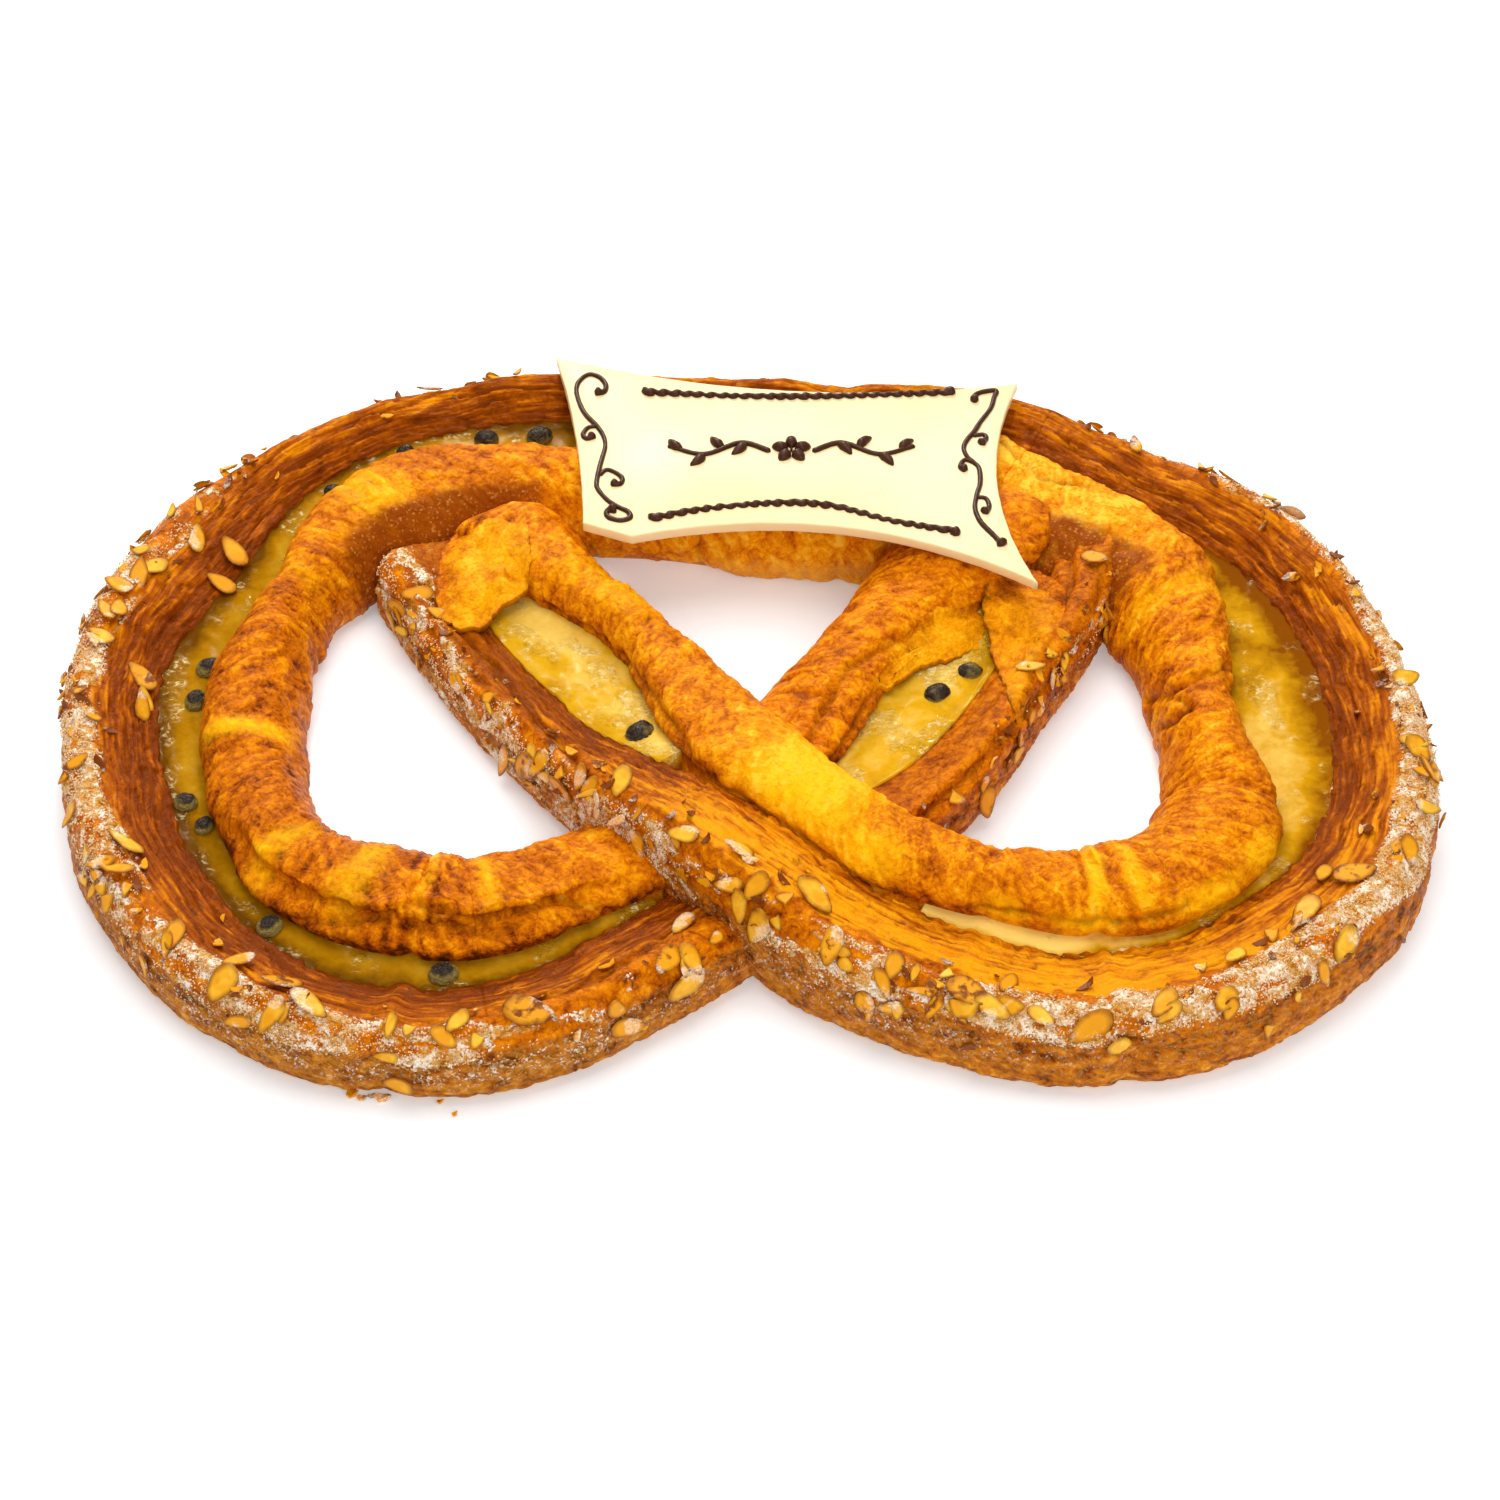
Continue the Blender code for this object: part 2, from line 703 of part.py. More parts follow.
def crossing_bar(rope, start, end, finish):
    """The rope without its channel, a gap larger, to trim custard that runs under or over it."""
    rings = []
    for at in rope.cuts(rope.at_station(start), rope.at_station(end)):
        rows = section(rope, at)
        outer = np.vstack([rows[:ROLL_POINTS], rows[ROLL_POINTS + 2 :]])
        outer[:, 0] += np.sign(outer[:, 0]) * 2 * GAP
        outer[:, 1] += np.where(outer[:, 1] > 0, 2 * GAP, -GAP)
        rings.append([rope.point(at, across, height) for across, height in outer])
    return loft("crossing_bar", rings, finish)


def raisin(rope, name, place, swelling, finish):
    """A raisin lying half sunk in the custard, this much larger all round."""
    station, across, long, turn = place
    at = rope.at_station(station)
    long *= MM
    level = section(rope, at)[ROLL_POINTS - 1, 1]
    centre = rope.point(at, across * MM, level + RAISIN_RISE * long)
    radii = [0.5 * long + swelling, 0.42 * long + swelling, 0.36 * long + swelling]
    return lump(name, centre, radii, math.radians(turn), finish)


def build_custards(rope, finish):
    bars = {span: crossing_bar(rope, *span, finish) for span in CROSSING_SPANS}
    hollows = [raisin(rope, "hollow", place, 2 * GAP, finish) for place in RAISINS]
    hollows += [fold(place, 2 * GAP, finish) for place in FOLDS]
    for name, start, end in CUSTARD_SPANS:
        strip = custard_strip(rope, name, start, end, finish)
        second = start > JOIN_STATION
        across = [bar for span, bar in bars.items() if (span[0] > JOIN_STATION) != second]
        carved(strip, across + hollows)
    for cutter in [*bars.values(), *hollows]:
        bpy.data.objects.remove(cutter)


def build_raisins(rope, finish):
    for i, place in enumerate(RAISINS, start=1):
        raisin(rope, f"raisin_{i:02d}", place, 0.0, finish)


def on_plaque(x, y, rise):
    """A point above the plaque's lower face, from its place in mm and its rise in mm."""
    slope = -PLAQUE_SLOPE * (y * MM - PLAQUE_Y)
    return Vector((x * MM, y * MM, PLAQUE_LEVEL + slope + rise * MM))


def plaque_outline():
    """Corner to corner round the plaque, each side an arc that curves in."""
    corners = [Vector(corner) for corner, _ in PLAQUE_CORNERS]
    outline = []
    for i, (corner, (_, sag)) in enumerate(zip(corners, PLAQUE_CORNERS)):
        side = corners[(i + 1) % len(corners)] - corner
        steps = max(1, round(side.length / PLAQUE_SIDE_STEP))
        inwards = Vector((side.y, -side.x)).normalized()
        for k in range(steps):
            t = k / steps
            outline.append(corner + side * t + inwards * sag * 4 * t * (1 - t))
    return outline


def plaque_slab(finish):
    outline = plaque_outline()
    middle = sum(outline, Vector((0, 0))) / len(outline)
    shrink = [p - (p - middle).normalized() * PLAQUE_CHAMFER for p in outline]
    top = PLAQUE_THICKNESS / MM
    rings = [
        [on_plaque(x, y, 0) for x, y in outline],
        [on_plaque(x, y, top - PLAQUE_CHAMFER) for x, y in outline],
        [on_plaque(x, y, top) for x, y in shrink],
    ]
    return loft("slab", rings, finish)


def piped(name, points, finish, thickness=(1.0,)):
    """A bead of chocolate along a line on the plaque. thickness may change along the line."""
    points = np.asarray(points, float)
    steps = np.linalg.norm(np.diff(points, axis=0), axis=1).sum() / PIPING_STEP
    line = smooth_through(points, max(len(points), round(steps)) + 1)
    last = len(line) - 1
    shares = np.interp(np.linspace(0, 1, last + 1), np.linspace(0, 1, len(thickness)), thickness)
    rings = []
    for i, (x, y) in enumerate(line):
        along = line[min(i + 1, last)] - line[max(i - 1, 0)]
        side = np.array([-along[1], along[0]]) / np.linalg.norm(along)
        radius = PIPING_RADIUS * shares[i]
        rise = PLAQUE_THICKNESS / MM + 0.35 * radius
        ring = []
        for k in range(PIPING_SIDES):
            angle = math.pi * (0.5 + 2 * k / PIPING_SIDES)
            across = radius * math.cos(angle)
            ring.append(
                on_plaque(x + side[0] * across, y + side[1] * across, rise + radius * math.sin(angle))
            )
        rings.append(ring)
    return loft(name, rings, finish)


def curl_line(x, y, radius, start, hand):
    """Most of a turn that winds inwards."""
    line = []
    for k in range(6):
        angle = math.radians(start + hand * 56 * k)
        wound = radius * (1 - 0.06 * k)
        line.append((x + wound * math.cos(angle), y + wound * math.sin(angle)))
    return line


def leaf_line(x, y, angle, length):
    tip = (x + length * math.cos(angle), y + length * math.sin(angle))
    return [(x, y), tip]


def sprig(finish):
    """A flower of petals, with a leafy stem on each side."""
    x0, y0 = SPRIG_MIDDLE
    pieces = []
    for k in range(PETALS):
        angle = math.pi / 2 + 2 * math.pi * k / PETALS
        x, y = x0 + 2.5 * math.cos(angle), y0 + 2.5 * math.sin(angle)
        petal = leaf_line(x, y, angle, PETAL_LENGTH - 2.5)
        pieces.append(piped("petal", petal, finish, (0.7, 1.5, 0.9)))
    for hand in (-1, 1):
        stem = np.array([(x0 + hand * x, y0 + y) for x, y in SPRIG_STEM])
        pieces.append(piped("stem", stem, finish, (1.0, 0.9, 0.7)))
        along = smooth_through(stem, 101)
        for i, share in enumerate(LEAF_PLACES):
            x, y = along[round(100 * share)]
            side = 1 if i % 2 else -1
            angle = math.radians(90 - hand * 90 + hand * side * 52)
            leaf = leaf_line(x, y, angle, LEAF_LENGTH)
            pieces.append(piped("leaf", leaf, finish, (0.6, 1.5, 0.4)))
    return pieces


def build_plaque(finish):
    pieces = [plaque_slab(finish)]
    pieces.append(piped("top_border", TOP_BORDER, finish, (0.8, 1.1, 1.1, 0.8)))
    pieces.append(piped("bottom_border", BOTTOM_BORDER, finish, (0.8, 1.1, 1.1, 0.8)))
    for stem in (LEFT_STEM, RIGHT_STEM):
        pieces.append(piped("stem", stem, finish, (1.6, 0.8, 0.8, 0.8, 0.8, 1.6)))
    for curl in CURLS:
        pieces.append(piped("curl", curl_line(*curl), finish, (0.8, 0.8, 1.2)))
    pieces += sprig(finish)
    return united("plaque", pieces, finish)


def main():
    clear_scene()
    dough = material("baked dough", (0.62, 0.27, 0.06), 0.55)
    custard = material("custard", (0.66, 0.47, 0.12), 0.25)
    dried_fruit = material("raisin", (0.03, 0.022, 0.02), 0.4)
    white_chocolate = material("white chocolate", (0.94, 0.86, 0.6), 0.35)
    rope = Rope()
    build_pastry(rope, dough)
    build_custards(rope, custard)
    build_raisins(rope, dried_fruit)
    build_plaque(white_chocolate)
    shift = Matrix.Translation((-ORIGIN[0] * MM, -ORIGIN[1] * MM, 0))
    for obj in bpy.data.objects:
        obj.data.transform(shift)


main()
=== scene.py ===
"""Dresses a large kringle: a pretzel of flaky dough, split along its top over custard.

The rope of dough has a sugared, almond-covered roll on its outer side and a smooth golden roll on
its inner side. Custard with raisins shows between them, and a white chocolate plaque with piped
chocolate ornament lies across the back. Lengths are metres unless a name or comment says mm.
"""

import logging
import math
from dataclasses import dataclass
from enum import Enum
from functools import cache

import bmesh
import bpy
import numpy as np
from mathutils import Matrix, Vector, noise
from mathutils.bvhtree import BVHTree


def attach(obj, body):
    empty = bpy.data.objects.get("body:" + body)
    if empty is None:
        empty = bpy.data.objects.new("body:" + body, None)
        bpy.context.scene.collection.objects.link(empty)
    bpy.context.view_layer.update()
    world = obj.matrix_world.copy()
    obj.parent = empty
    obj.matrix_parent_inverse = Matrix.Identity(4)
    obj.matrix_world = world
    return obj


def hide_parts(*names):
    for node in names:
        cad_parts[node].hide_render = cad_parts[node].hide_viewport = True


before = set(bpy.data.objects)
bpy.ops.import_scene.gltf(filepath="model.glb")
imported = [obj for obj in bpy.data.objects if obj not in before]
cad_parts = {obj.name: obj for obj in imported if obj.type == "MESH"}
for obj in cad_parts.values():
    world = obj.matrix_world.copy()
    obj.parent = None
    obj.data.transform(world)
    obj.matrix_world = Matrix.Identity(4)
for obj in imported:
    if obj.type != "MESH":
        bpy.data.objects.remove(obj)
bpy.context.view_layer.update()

log = logging.getLogger("kringle")

MM = 0.001
BODY = "root"
Colour = tuple[float, float, float]
Point = tuple[float, float, float]

# Cuts across the rope, in mm: middle x and y, width, width of the almond roll, width of the split,
# crest heights of the almond roll and of the smooth roll, and height where they meet the custard.
# From the right arm's end, under the crossing, round the ring clockwise, to the left arm's end.
STATIONS = (
    (124, 146, 88, 32, 0, 39, 42, 34),
    (106, 102, 101, 28, 12, 36, 41, 27),
    (82, 58, 101, 28, 33, 35, 40, 22),
    (55, 13, 106, 31, 30, 33, 37, 21),
    (-16, -60, 96, 44, 2, 26, 29, 19),
    (-56, -92, 102, 43, 8, 32, 36, 21),
    (-103, -114, 111, 41, 13, 35, 40, 22),
    (-150, -110, 115, 39, 17, 35, 41, 22),
    (-194, -88, 101, 42, 12, 35, 40, 22),
    (-222, -45, 100, 43, 15, 35, 40, 22),
    (-232, 4, 101, 40, 18, 35, 40, 22),
    (-233, 54, 101, 41, 25, 35, 40, 22),
    (-218, 105, 95, 46, 20, 35, 39, 22),
    (-182, 146, 90, 30, 14, 35, 39, 25),
    (-130, 173, 92, 26, 15, 35, 38, 27),
    (-72, 182, 94, 27, 30, 35, 39.5, 26),
    (43, 172, 102, 28, 16, 35, 39.5, 27),
    (96, 167, 100, 29, 3, 35, 39, 29),
    (143, 143, 96, 36, 0, 36, 39, 30),
    (187, 111, 101, 37, 10, 36, 40, 24),
    (212, 64, 105, 34, 31, 36, 40, 22),
    (222, 12, 110, 38, 40, 36, 40, 22),
    (219, -43, 112, 46, 18, 36, 40, 22),
    (189, -89, 110, 52, 4, 36, 40, 24),
    (141, -111, 110, 52, 9, 36, 40, 23),
    (92, -109, 102, 53, 10, 37, 41, 24),
    (48, -90, 96, 49, 2, 44, 48, 32),
    (12, -60, 92, 45, 0, 50, 54, 40),
    (-21, -22, 96, 40, 6, 45, 51, 36),
    (-51, 16, 98, 33, 26, 35, 43, 25),
    (-81, 55, 95, 33, 33, 29, 40, 22),
    (-102, 87, 90, 32, 19, 30, 41, 24),
    (-125, 131, 98, 42, 0, 36, 42, 31),
)
LAST_STATION = len(STATIONS) - 1
JOIN_STATION = 17.4  # where the rope's two halves meet, at the back
ORIGIN = (-4, 29)  # the point of the table above, in mm, that lies over the frame's origin

# Pinches of the smooth roll: station, depth in mm, length in mm.
PINCHES = (
    (5.3, 2.2, 9), (6.6, 6.0, 7), (7.6, 2.0, 12), (9.4, 2.0, 14), (11.4, 2.6, 12), (13.1, 2.0, 10),
    (16.0, 3.5, 10), (19.5, 2.0, 12), (20.7, 3.2, 12), (22.0, 3.0, 12), (24.1, 5.0, 7),
    (25.1, 2.4, 8), (29.5, 2.4, 12),
)

# How much coarse sugar the crest of the almond roll carries: station, amount.
SUGAR_ALONG = (
    (0, 0.3), (1, 0.6), (2, 0.5), (3, 0.3), (4.6, 0.25), (5.5, 0.4), (6.3, 0.8), (7.3, 0.9),
    (8.3, 0.75), (9.5, 0.95), (11, 0.8), (12, 0.75), (13, 0.3), (15, 0.15), (17, 0.2), (18, 0.4),
    (19, 0.8), (20, 1.05), (22.5, 1.1), (24, 0.95), (26, 0.8), (26.7, 0.45), (27.4, 0.85),
    (28.4, 0.8), (31, 0.75), (32, 0.7),
)

# Where on the almond roll the sugar lies: station, middle and half width as shares over the roll.
SUGAR_BAND = (
    (0, 0.42, 0.1), (3.5, 0.42, 0.1), (5, 0.46, 0.09), (7, 0.47, 0.11), (8.5, 0.5, 0.13),
    (12, 0.52, 0.13), (13, 0.48, 0.08), (18, 0.48, 0.08), (20, 0.5, 0.11), (23, 0.5, 0.12),
    (25, 0.47, 0.1), (27, 0.42, 0.12), (28, 0.34, 0.17), (30.6, 0.36, 0.2), (31.4, 0.42, 0.34),
    (32, 0.45, 0.45),
)

# How far the almond roll's inner slope shows its layers: station, share.
LAYERS_ALONG = (
    (0, 0.1), (3.2, 0.2), (4.4, 1.0), (29.0, 1.0), (30.6, 0.7), (32, 0.4),
)

# How light the layers are baked: station, amount.
LAYER_TONES = (
    (0, -0.15), (6, -0.18), (8, -0.25), (12, -0.2), (22, -0.1), (24, 0.36), (27, 0.3), (29, -0.28),
    (32, -0.25),
)

# How much browner than usual the smooth roll is: station, amount. Mostly its own bake, but the
# lighter amounts from station 15.3 to 18.4 are painted light against the plaque's shadow, and those
# at 27 and 28 are a painted highlight over the crossing.
SMOOTH_BAKE_AND_PAINTED_LIGHT = (
    (5, 0.02), (7, 0.18), (9, 0.16), (11.5, 0.1), (12.5, 0), (13.3, 0.05), (14.2, 0.08),
    (15.3, -0.18), (17, -0.3), (18.4, -0.3), (19.2, 0), (26, 0), (27, -0.12), (28, -0.08), (29, 0),
)

# How much darker than usual the custard is: station, amount. Partly its own tone, partly painted
# shade where the rolls and the plaque shade it. The negative amounts from 24.3 to 25.6 lighten a strip
# that the smooth roll shades: partly its pale cream, partly painted light.
CUSTARD_TONE_AND_PAINTED_SHADE = (
    (0, 0), (4.6, 0.1), (7, 0.05), (8.5, 0.4), (9.6, 0.3), (10.3, 0.1), (12, 0.15), (13, -0.1),
    (14, 0.0), (15, 0.4), (16, 0.6), (19, 0.7), (20, 0.4), (20.9, 0.1), (21.6, -0.1), (22.8, 0.2),
    (23.8, 0), (24.3, -0.9), (25.6, -0.9), (28, 0),
)

# How dull and tan, not orange, the outer side is: station, share.
TAN_ALONG = (
    (0, 0.2), (4, 0.5), (5.5, 1.0), (8, 0.9), (9.5, 0.5), (14, 0.5), (19, 0.3), (23, 0.4),
    (25.5, 0.8), (32, 0.6),
)

# Bright yellow bands where the smooth roll's skin is stretched: station, length in mm along the
# rope, middle and half width as shares over the roll, strength.
STRETCHES = (
    (9.75, 5, 0.36, 0.25, 0.9), (8.1, 7, 0.3, 0.25, 0.6), (7.2, 8, 0.36, 0.25, 0.55),
    (6.55, 3, 0.5, 0.3, 0.6), (5.85, 5, 0.45, 0.2, 0.6), (24.05, 4, 0.4, 0.3, 1.0),
    (23.7, 4, 0.32, 0.25, 0.7), (24.9, 9, 0.06, 0.1, 0.9), (24.2, 14, 0.05, 0.09, 1.0),
    (23.2, 16, 0.06, 0.1, 0.9), (22.6, 12, 0.09, 0.1, 0.8), (27.0, 26, 0.3, 0.3, 1.0),
    (26.2, 16, 0.12, 0.14, 0.7), (19.5, 8, 0.4, 0.3, 0.4), (13.2, 14, 0.3, 0.25, 0.6),
    (12.0, 8, 0.35, 0.2, 0.3), (30.2, 30, 0.45, 0.2, 0.35),
)

# Folds drawn into the smooth roll, with painted shade darkening their bottoms: depth in mm, then
# (station, share over the roll) points.
GROOVES = (
    (2.4, ((20.4, 0.78), (20.55, 0.66), (20.78, 0.44), (20.64, 0.23), (20.4, 0.12))),
    (1.8, ((20.78, 0.52), (21.06, 0.47), (21.05, 0.6), (20.75, 0.85))),
    (3.0, ((8.2, 0.0), (7.67, 0.03), (7.21, 0.12), (6.9, 0.19), (6.69, 0.26), (6.37, 0.27))),
    (3.0, ((6.37, 0.27), (6.1, 0.21), (5.81, 0.23), (5.32, 0.19), (5.0, 0.03))),
    (2.2, ((6.48, 0.25), (6.21, 0.17), (5.95, 0.12), (5.7, 0.13))),
    (2.2, ((1.3, 0.0), (1.75, 0.05), (2.33, 0.15), (2.9, 0.29), (3.15, 0.27), (3.4, 0.2))),
    (1.6, ((2.2, 0.02), (2.7, 0.1), (3.0, 0.12), (3.4, 0.06))),
    (1.8, ((30.6, 0.05), (29.7, 0.06), (28.9, 0.13), (28.3, 0.1), (27.7, 0.02))),
    (1.6, ((17.2, 0.12), (17.65, 0.21), (18.1, 0.1), (18.5, 0.02))),
    (1.0, ((25.3, 0.05), (24.7, 0.1), (24.0, 0.09), (23.4, 0.12))),
    (2.2, ((15.4, 0.45), (15.5, 0.62), (15.48, 0.85), (15.5, 1.0))),
)

# The same on the almond roll.
NUT_GROOVES = (
    (2.6, ((3.6, 0.42), (3.2, 0.5), (2.9, 0.52), (2.4, 0.5), (1.9, 0.46), (1.5, 0.5))),
    (1.8, ((2.9, 0.8), (2.2, 0.78), (1.5, 0.74), (1.0, 0.8), (0.6, 0.95))),
    (1.6, ((1.2, 0.5), (0.9, 0.62), (0.7, 0.8))),
    (1.6, ((17.6, 0.78), (18.1, 0.8), (18.7, 0.86))),
    (1.8, ((5.9, 0.66), (5.3, 0.62), (4.8, 0.68), (4.4, 0.64))),
    (2.6, ((31.3, 0.62), (30.6, 0.68), (30.0, 0.7), (29.4, 0.67), (28.8, 0.65), (28.2, 0.6))),
    (1.6, ((31.6, 0.4), (31.0, 0.5), (30.4, 0.52), (29.9, 0.56))),
)

# Reddish, sugared skin behind the ends of the arms: first and last station, and first and last
# share over the smooth roll.
ROSY_PATCHES = ((12.7, 14.4, 0.52, 0.95), (17.6, 18.9, 0.45, 0.9))

# Almond flakes that stand out: station, share over the almond roll, turn in degrees, length in mm.
FLAKES_TO_SEE = (
    (12.1, 0.9, 60, 15), (11.8, 0.96, 95, 13), (12.0, 0.7, 30, 12), (10.65, 0.88, 50, 15),
    (10.4, 0.92, 20, 12), (11.5, 0.6, 15, 13), (10.85, 0.58, 80, 10), (11.6, 0.64, 140, 12),
    (10.3, 0.9, 10, 12), (8.8, 0.65, 20, 17), (8.6, 0.54, 35, 16), (8.02, 0.56, 120, 13),
    (7.6, 0.5, 80, 15), (7.3, 0.67, 30, 15), (7.06, 0.58, 150, 18), (7.25, 0.48, 70, 15),
    (7.45, 0.38, 20, 11), (7.62, 0.66, 50, 12), (8.7, 0.5, 60, 12), (8.85, 0.46, 100, 10),
    (6.5, 0.22, 10, 13), (6.1, 0.48, 60, 9), (5.85, 0.55, 150, 18), (5.65, 0.38, 90, 8),
    (5.37, 0.28, 160, 13), (5.0, 0.5, 20, 15), (4.85, 0.45, 80, 13), (4.95, 0.35, 10, 17),
    (4.7, 0.67, 20, 13), (29.06, 0.38, 40, 17), (29.36, 0.25, 80, 16), (28.6, 0.5, 60, 10),
    (28.55, 0.42, 140, 13), (28.2, 0.48, 120, 9), (27.6, 0.42, 110, 11), (26.87, 0.66, 30, 12),
    (26.55, 0.56, 70, 13), (26.6, 0.46, 100, 14), (26.42, 0.42, 70, 17), (26.3, 0.58, 10, 10),
    (26.2, 0.68, 160, 17), (25.9, 0.5, 100, 15), (25.6, 0.3, 110, 12), (25.15, 0.56, 30, 9),
    (25.0, 0.5, 170, 17), (25.02, 0.43, 10, 13), (24.85, 0.46, 160, 14), (24.57, 0.46, 150, 11),
    (24.3, 0.43, 30, 17), (24.15, 0.33, 140, 14), (23.9, 0.5, 40, 13), (23.6, 0.46, 20, 12),
    (23.4, 0.27, 70, 9), (23.4, 0.66, 20, 11), (23.6, 0.69, 70, 8), (23.1, 0.69, 50, 10),
    (22.97, 0.66, 0, 11), (22.85, 0.68, 20, 17), (22.5, 0.8, 20, 12), (22.45, 0.66, 130, 16),
    (22.88, 0.43, 20, 15), (21.47, 0.56, 70, 12), (21.65, 0.5, 40, 13), (21.9, 0.48, 120, 13),
    (20.87, 0.54, 110, 13), (22.2, 0.5, 30, 12), (19.05, 0.54, 30, 10), (19.13, 0.48, 100, 10),
    (18.8, 0.5, 10, 12), (3.05, 0.25, 80, 14), (12.4, 0.5, 20, 13), (9.6, 0.52, 80, 12),
    (9.2, 0.44, 100, 12), (31.3, 0.45, 20, 12), (31.25, 0.6, 70, 13), (31.35, 0.3, 120, 11),
    (31.0, 0.66, 40, 10), (30.9, 0.25, 60, 12), (0.6, 0.5, 30, 13), (0.75, 0.7, 80, 12),
    (1.1, 0.42, 10, 12),
)
FLAKE_FREE_SPANS = ((3.6, 4.6), (14.6, 17.6))  # under the crossing, and under the plaque

# Raisins: station, mm from the rope's middle to the almond side, length in mm, turn in degrees.
RAISINS = (
    (10.85, -8.0, 12, 20), (10.45, -4.4, 11, 75), (9.28, 1.2, 10, 0), (8.98, -3.2, 9, 60),
    (7.76, 5.0, 11, 40), (6.32, 9.0, 12, 10), (28.66, 5.0, 14, 60), (2.48, 9.5, 12, 35),
    (2.14, 15.5, 11, 0), (13.08, 8.0, 8, 30), (13.69, 14.0, 9, 50), (14.27, 11.5, 11, 0),
    (14.65, 10.0, 12, 25),
)


def hashed(x: np.ndarray, y: np.ndarray, seed: int) -> np.ndarray:
    """A repeatable random number from 0 to 1 for each pair of whole numbers.

    Args:
        x: Whole numbers.
        y: Whole numbers, of a shape that fits x.
        seed: Picks the series.

    Returns:
        The random number of each pair.
    """
    h = (x.astype(np.int64) * 374761393 + y.astype(np.int64) * 668265263 + seed * 974711) & 0xFFFFFFFF
    h = ((h ^ (h >> 13)) * 1274126177) & 0xFFFFFFFF
    return ((h ^ (h >> 16)) & 0xFFFFFF) / 0x1000000


def grain(u: np.ndarray, v: np.ndarray, seed: int) -> np.ndarray:
    """Smooth noise over a plane, from about -1 to 1, with features about one unit wide.

    Args:
        u: First coordinate.
        v: Second coordinate, of a shape that fits u.
        seed: Picks the pattern.

    Returns:
        The noise at every point.
    """
    u, v = np.broadcast_arrays(u, v)
    cell_u, cell_v = np.floor(u), np.floor(v)
    part_u, part_v = u - cell_u, v - cell_v
    corners = []
    for step_u, step_v in ((0, 0), (1, 0), (0, 1), (1, 1)):
        angle = 2 * math.pi * hashed(cell_u + step_u, cell_v + step_v, seed)
        corners.append(np.cos(angle) * (part_u - step_u) + np.sin(angle) * (part_v - step_v))
    ease_u = part_u**3 * (part_u * (part_u * 6 - 15) + 10)
    ease_v = part_v**3 * (part_v * (part_v * 6 - 15) + 10)
    low = corners[0] + (corners[1] - corners[0]) * ease_u
    high = corners[2] + (corners[3] - corners[2]) * ease_u
    return 1.5 * (low + (high - low) * ease_v)


def cloudy(u: np.ndarray, v: np.ndarray, seed: int, octaves: int = 3) -> np.ndarray:
    """Noise with finer and finer detail, from about -1 to 1."""
    total = sum(grain(u * 2**k, v * 2**k, seed + 31 * k) / 2**k for k in range(octaves))
    return total / (2 - 2 ** (1 - octaves))


def pebbles(u: np.ndarray, v: np.ndarray, seed: int) -> tuple[np.ndarray, np.ndarray]:
    """Rounded cells over a plane.

    Args:
        u: First coordinate.
        v: Second coordinate.
        seed: Picks the pattern.

    Returns:
        The distance to the nearest cell's middle, and how much further the second nearest is.
    """
    u, v = np.broadcast_arrays(u, v)
    cell_u, cell_v = np.floor(u), np.floor(v)
    first = np.full(u.shape, 9.0)
    second = first.copy()
    for step_u in (-1, 0, 1):
        for step_v in (-1, 0, 1):
            near_u, near_v = cell_u + step_u, cell_v + step_v
            away_u = near_u + hashed(near_u, near_v, seed) - u
            away_v = near_v + hashed(near_u, near_v, seed + 5) - v
            away = np.hypot(away_u, away_v)
            second = np.minimum(second, np.maximum(first, away))
            first = np.minimum(first, away)
    return first, second - first


def ease(value: np.ndarray) -> np.ndarray:
    """0 below 0, 1 above 1, and a smooth step between."""
    share = np.clip(value, 0, 1)
    return share * share * (3 - 2 * share)


def swell(value: np.ndarray, start: float, end: float, ramp: float) -> np.ndarray:
    """1 between start and end, falling smoothly to 0 over the ramp outside them."""
    return ease(np.minimum(value - start, end - value) / ramp + 1)


def bell(value: np.ndarray) -> np.ndarray:
    """1 at 0, falling smoothly to almost nothing by 2 on both sides."""
    return np.exp(-(value**2))


def read_along(table: tuple[tuple[float, ...], ...], station: np.ndarray, column: int = 1) -> np.ndarray:
    """Reads a column of a table whose rows start with their station, between the rows too."""
    columns = list(zip(*table))
    return np.interp(station, columns[0], columns[column])


def bare(stations: np.ndarray) -> np.ndarray:
    """Whether each station lies outside the spans that carry no flakes.

    Args:
        stations: Station numbers.

    Returns:
        True for each station outside them.
    """
    keep = np.ones(len(stations), bool)
    for start, end in FLAKE_FREE_SPANS:
        keep &= (stations < start) | (stations > end)
    return keep


def spline(knots: np.ndarray, values: np.ndarray, at: np.ndarray) -> np.ndarray:
    """Reads a natural cubic spline.

    Args:
        knots: Where the values stand.
        values: The value at each knot.
        at: Where to read.

    Returns:
        The spline's value at each place.
    """
    count = len(knots)
    gaps = np.diff(knots)
    system = np.eye(count)
    right = np.zeros(count)
    for i in range(1, count - 1):
        system[i, i - 1 : i + 2] = gaps[i - 1], 2 * (gaps[i - 1] + gaps[i]), gaps[i]
        rise = (values[i + 1] - values[i]) / gaps[i]
        right[i] = 6 * (rise - (values[i] - values[i - 1]) / gaps[i - 1])
    bend = np.linalg.solve(system, right)
    k = np.clip(np.searchsorted(knots, at) - 1, 0, count - 2)
    before, after, gap = at - knots[k], knots[k + 1] - at, gaps[k]
    return (
        (bend[k] * after**3 + bend[k + 1] * before**3) / (6 * gap)
        + (values[k] / gap - bend[k] * gap / 6) * after
        + (values[k + 1] / gap - bend[k + 1] * gap / 6) * before
    )


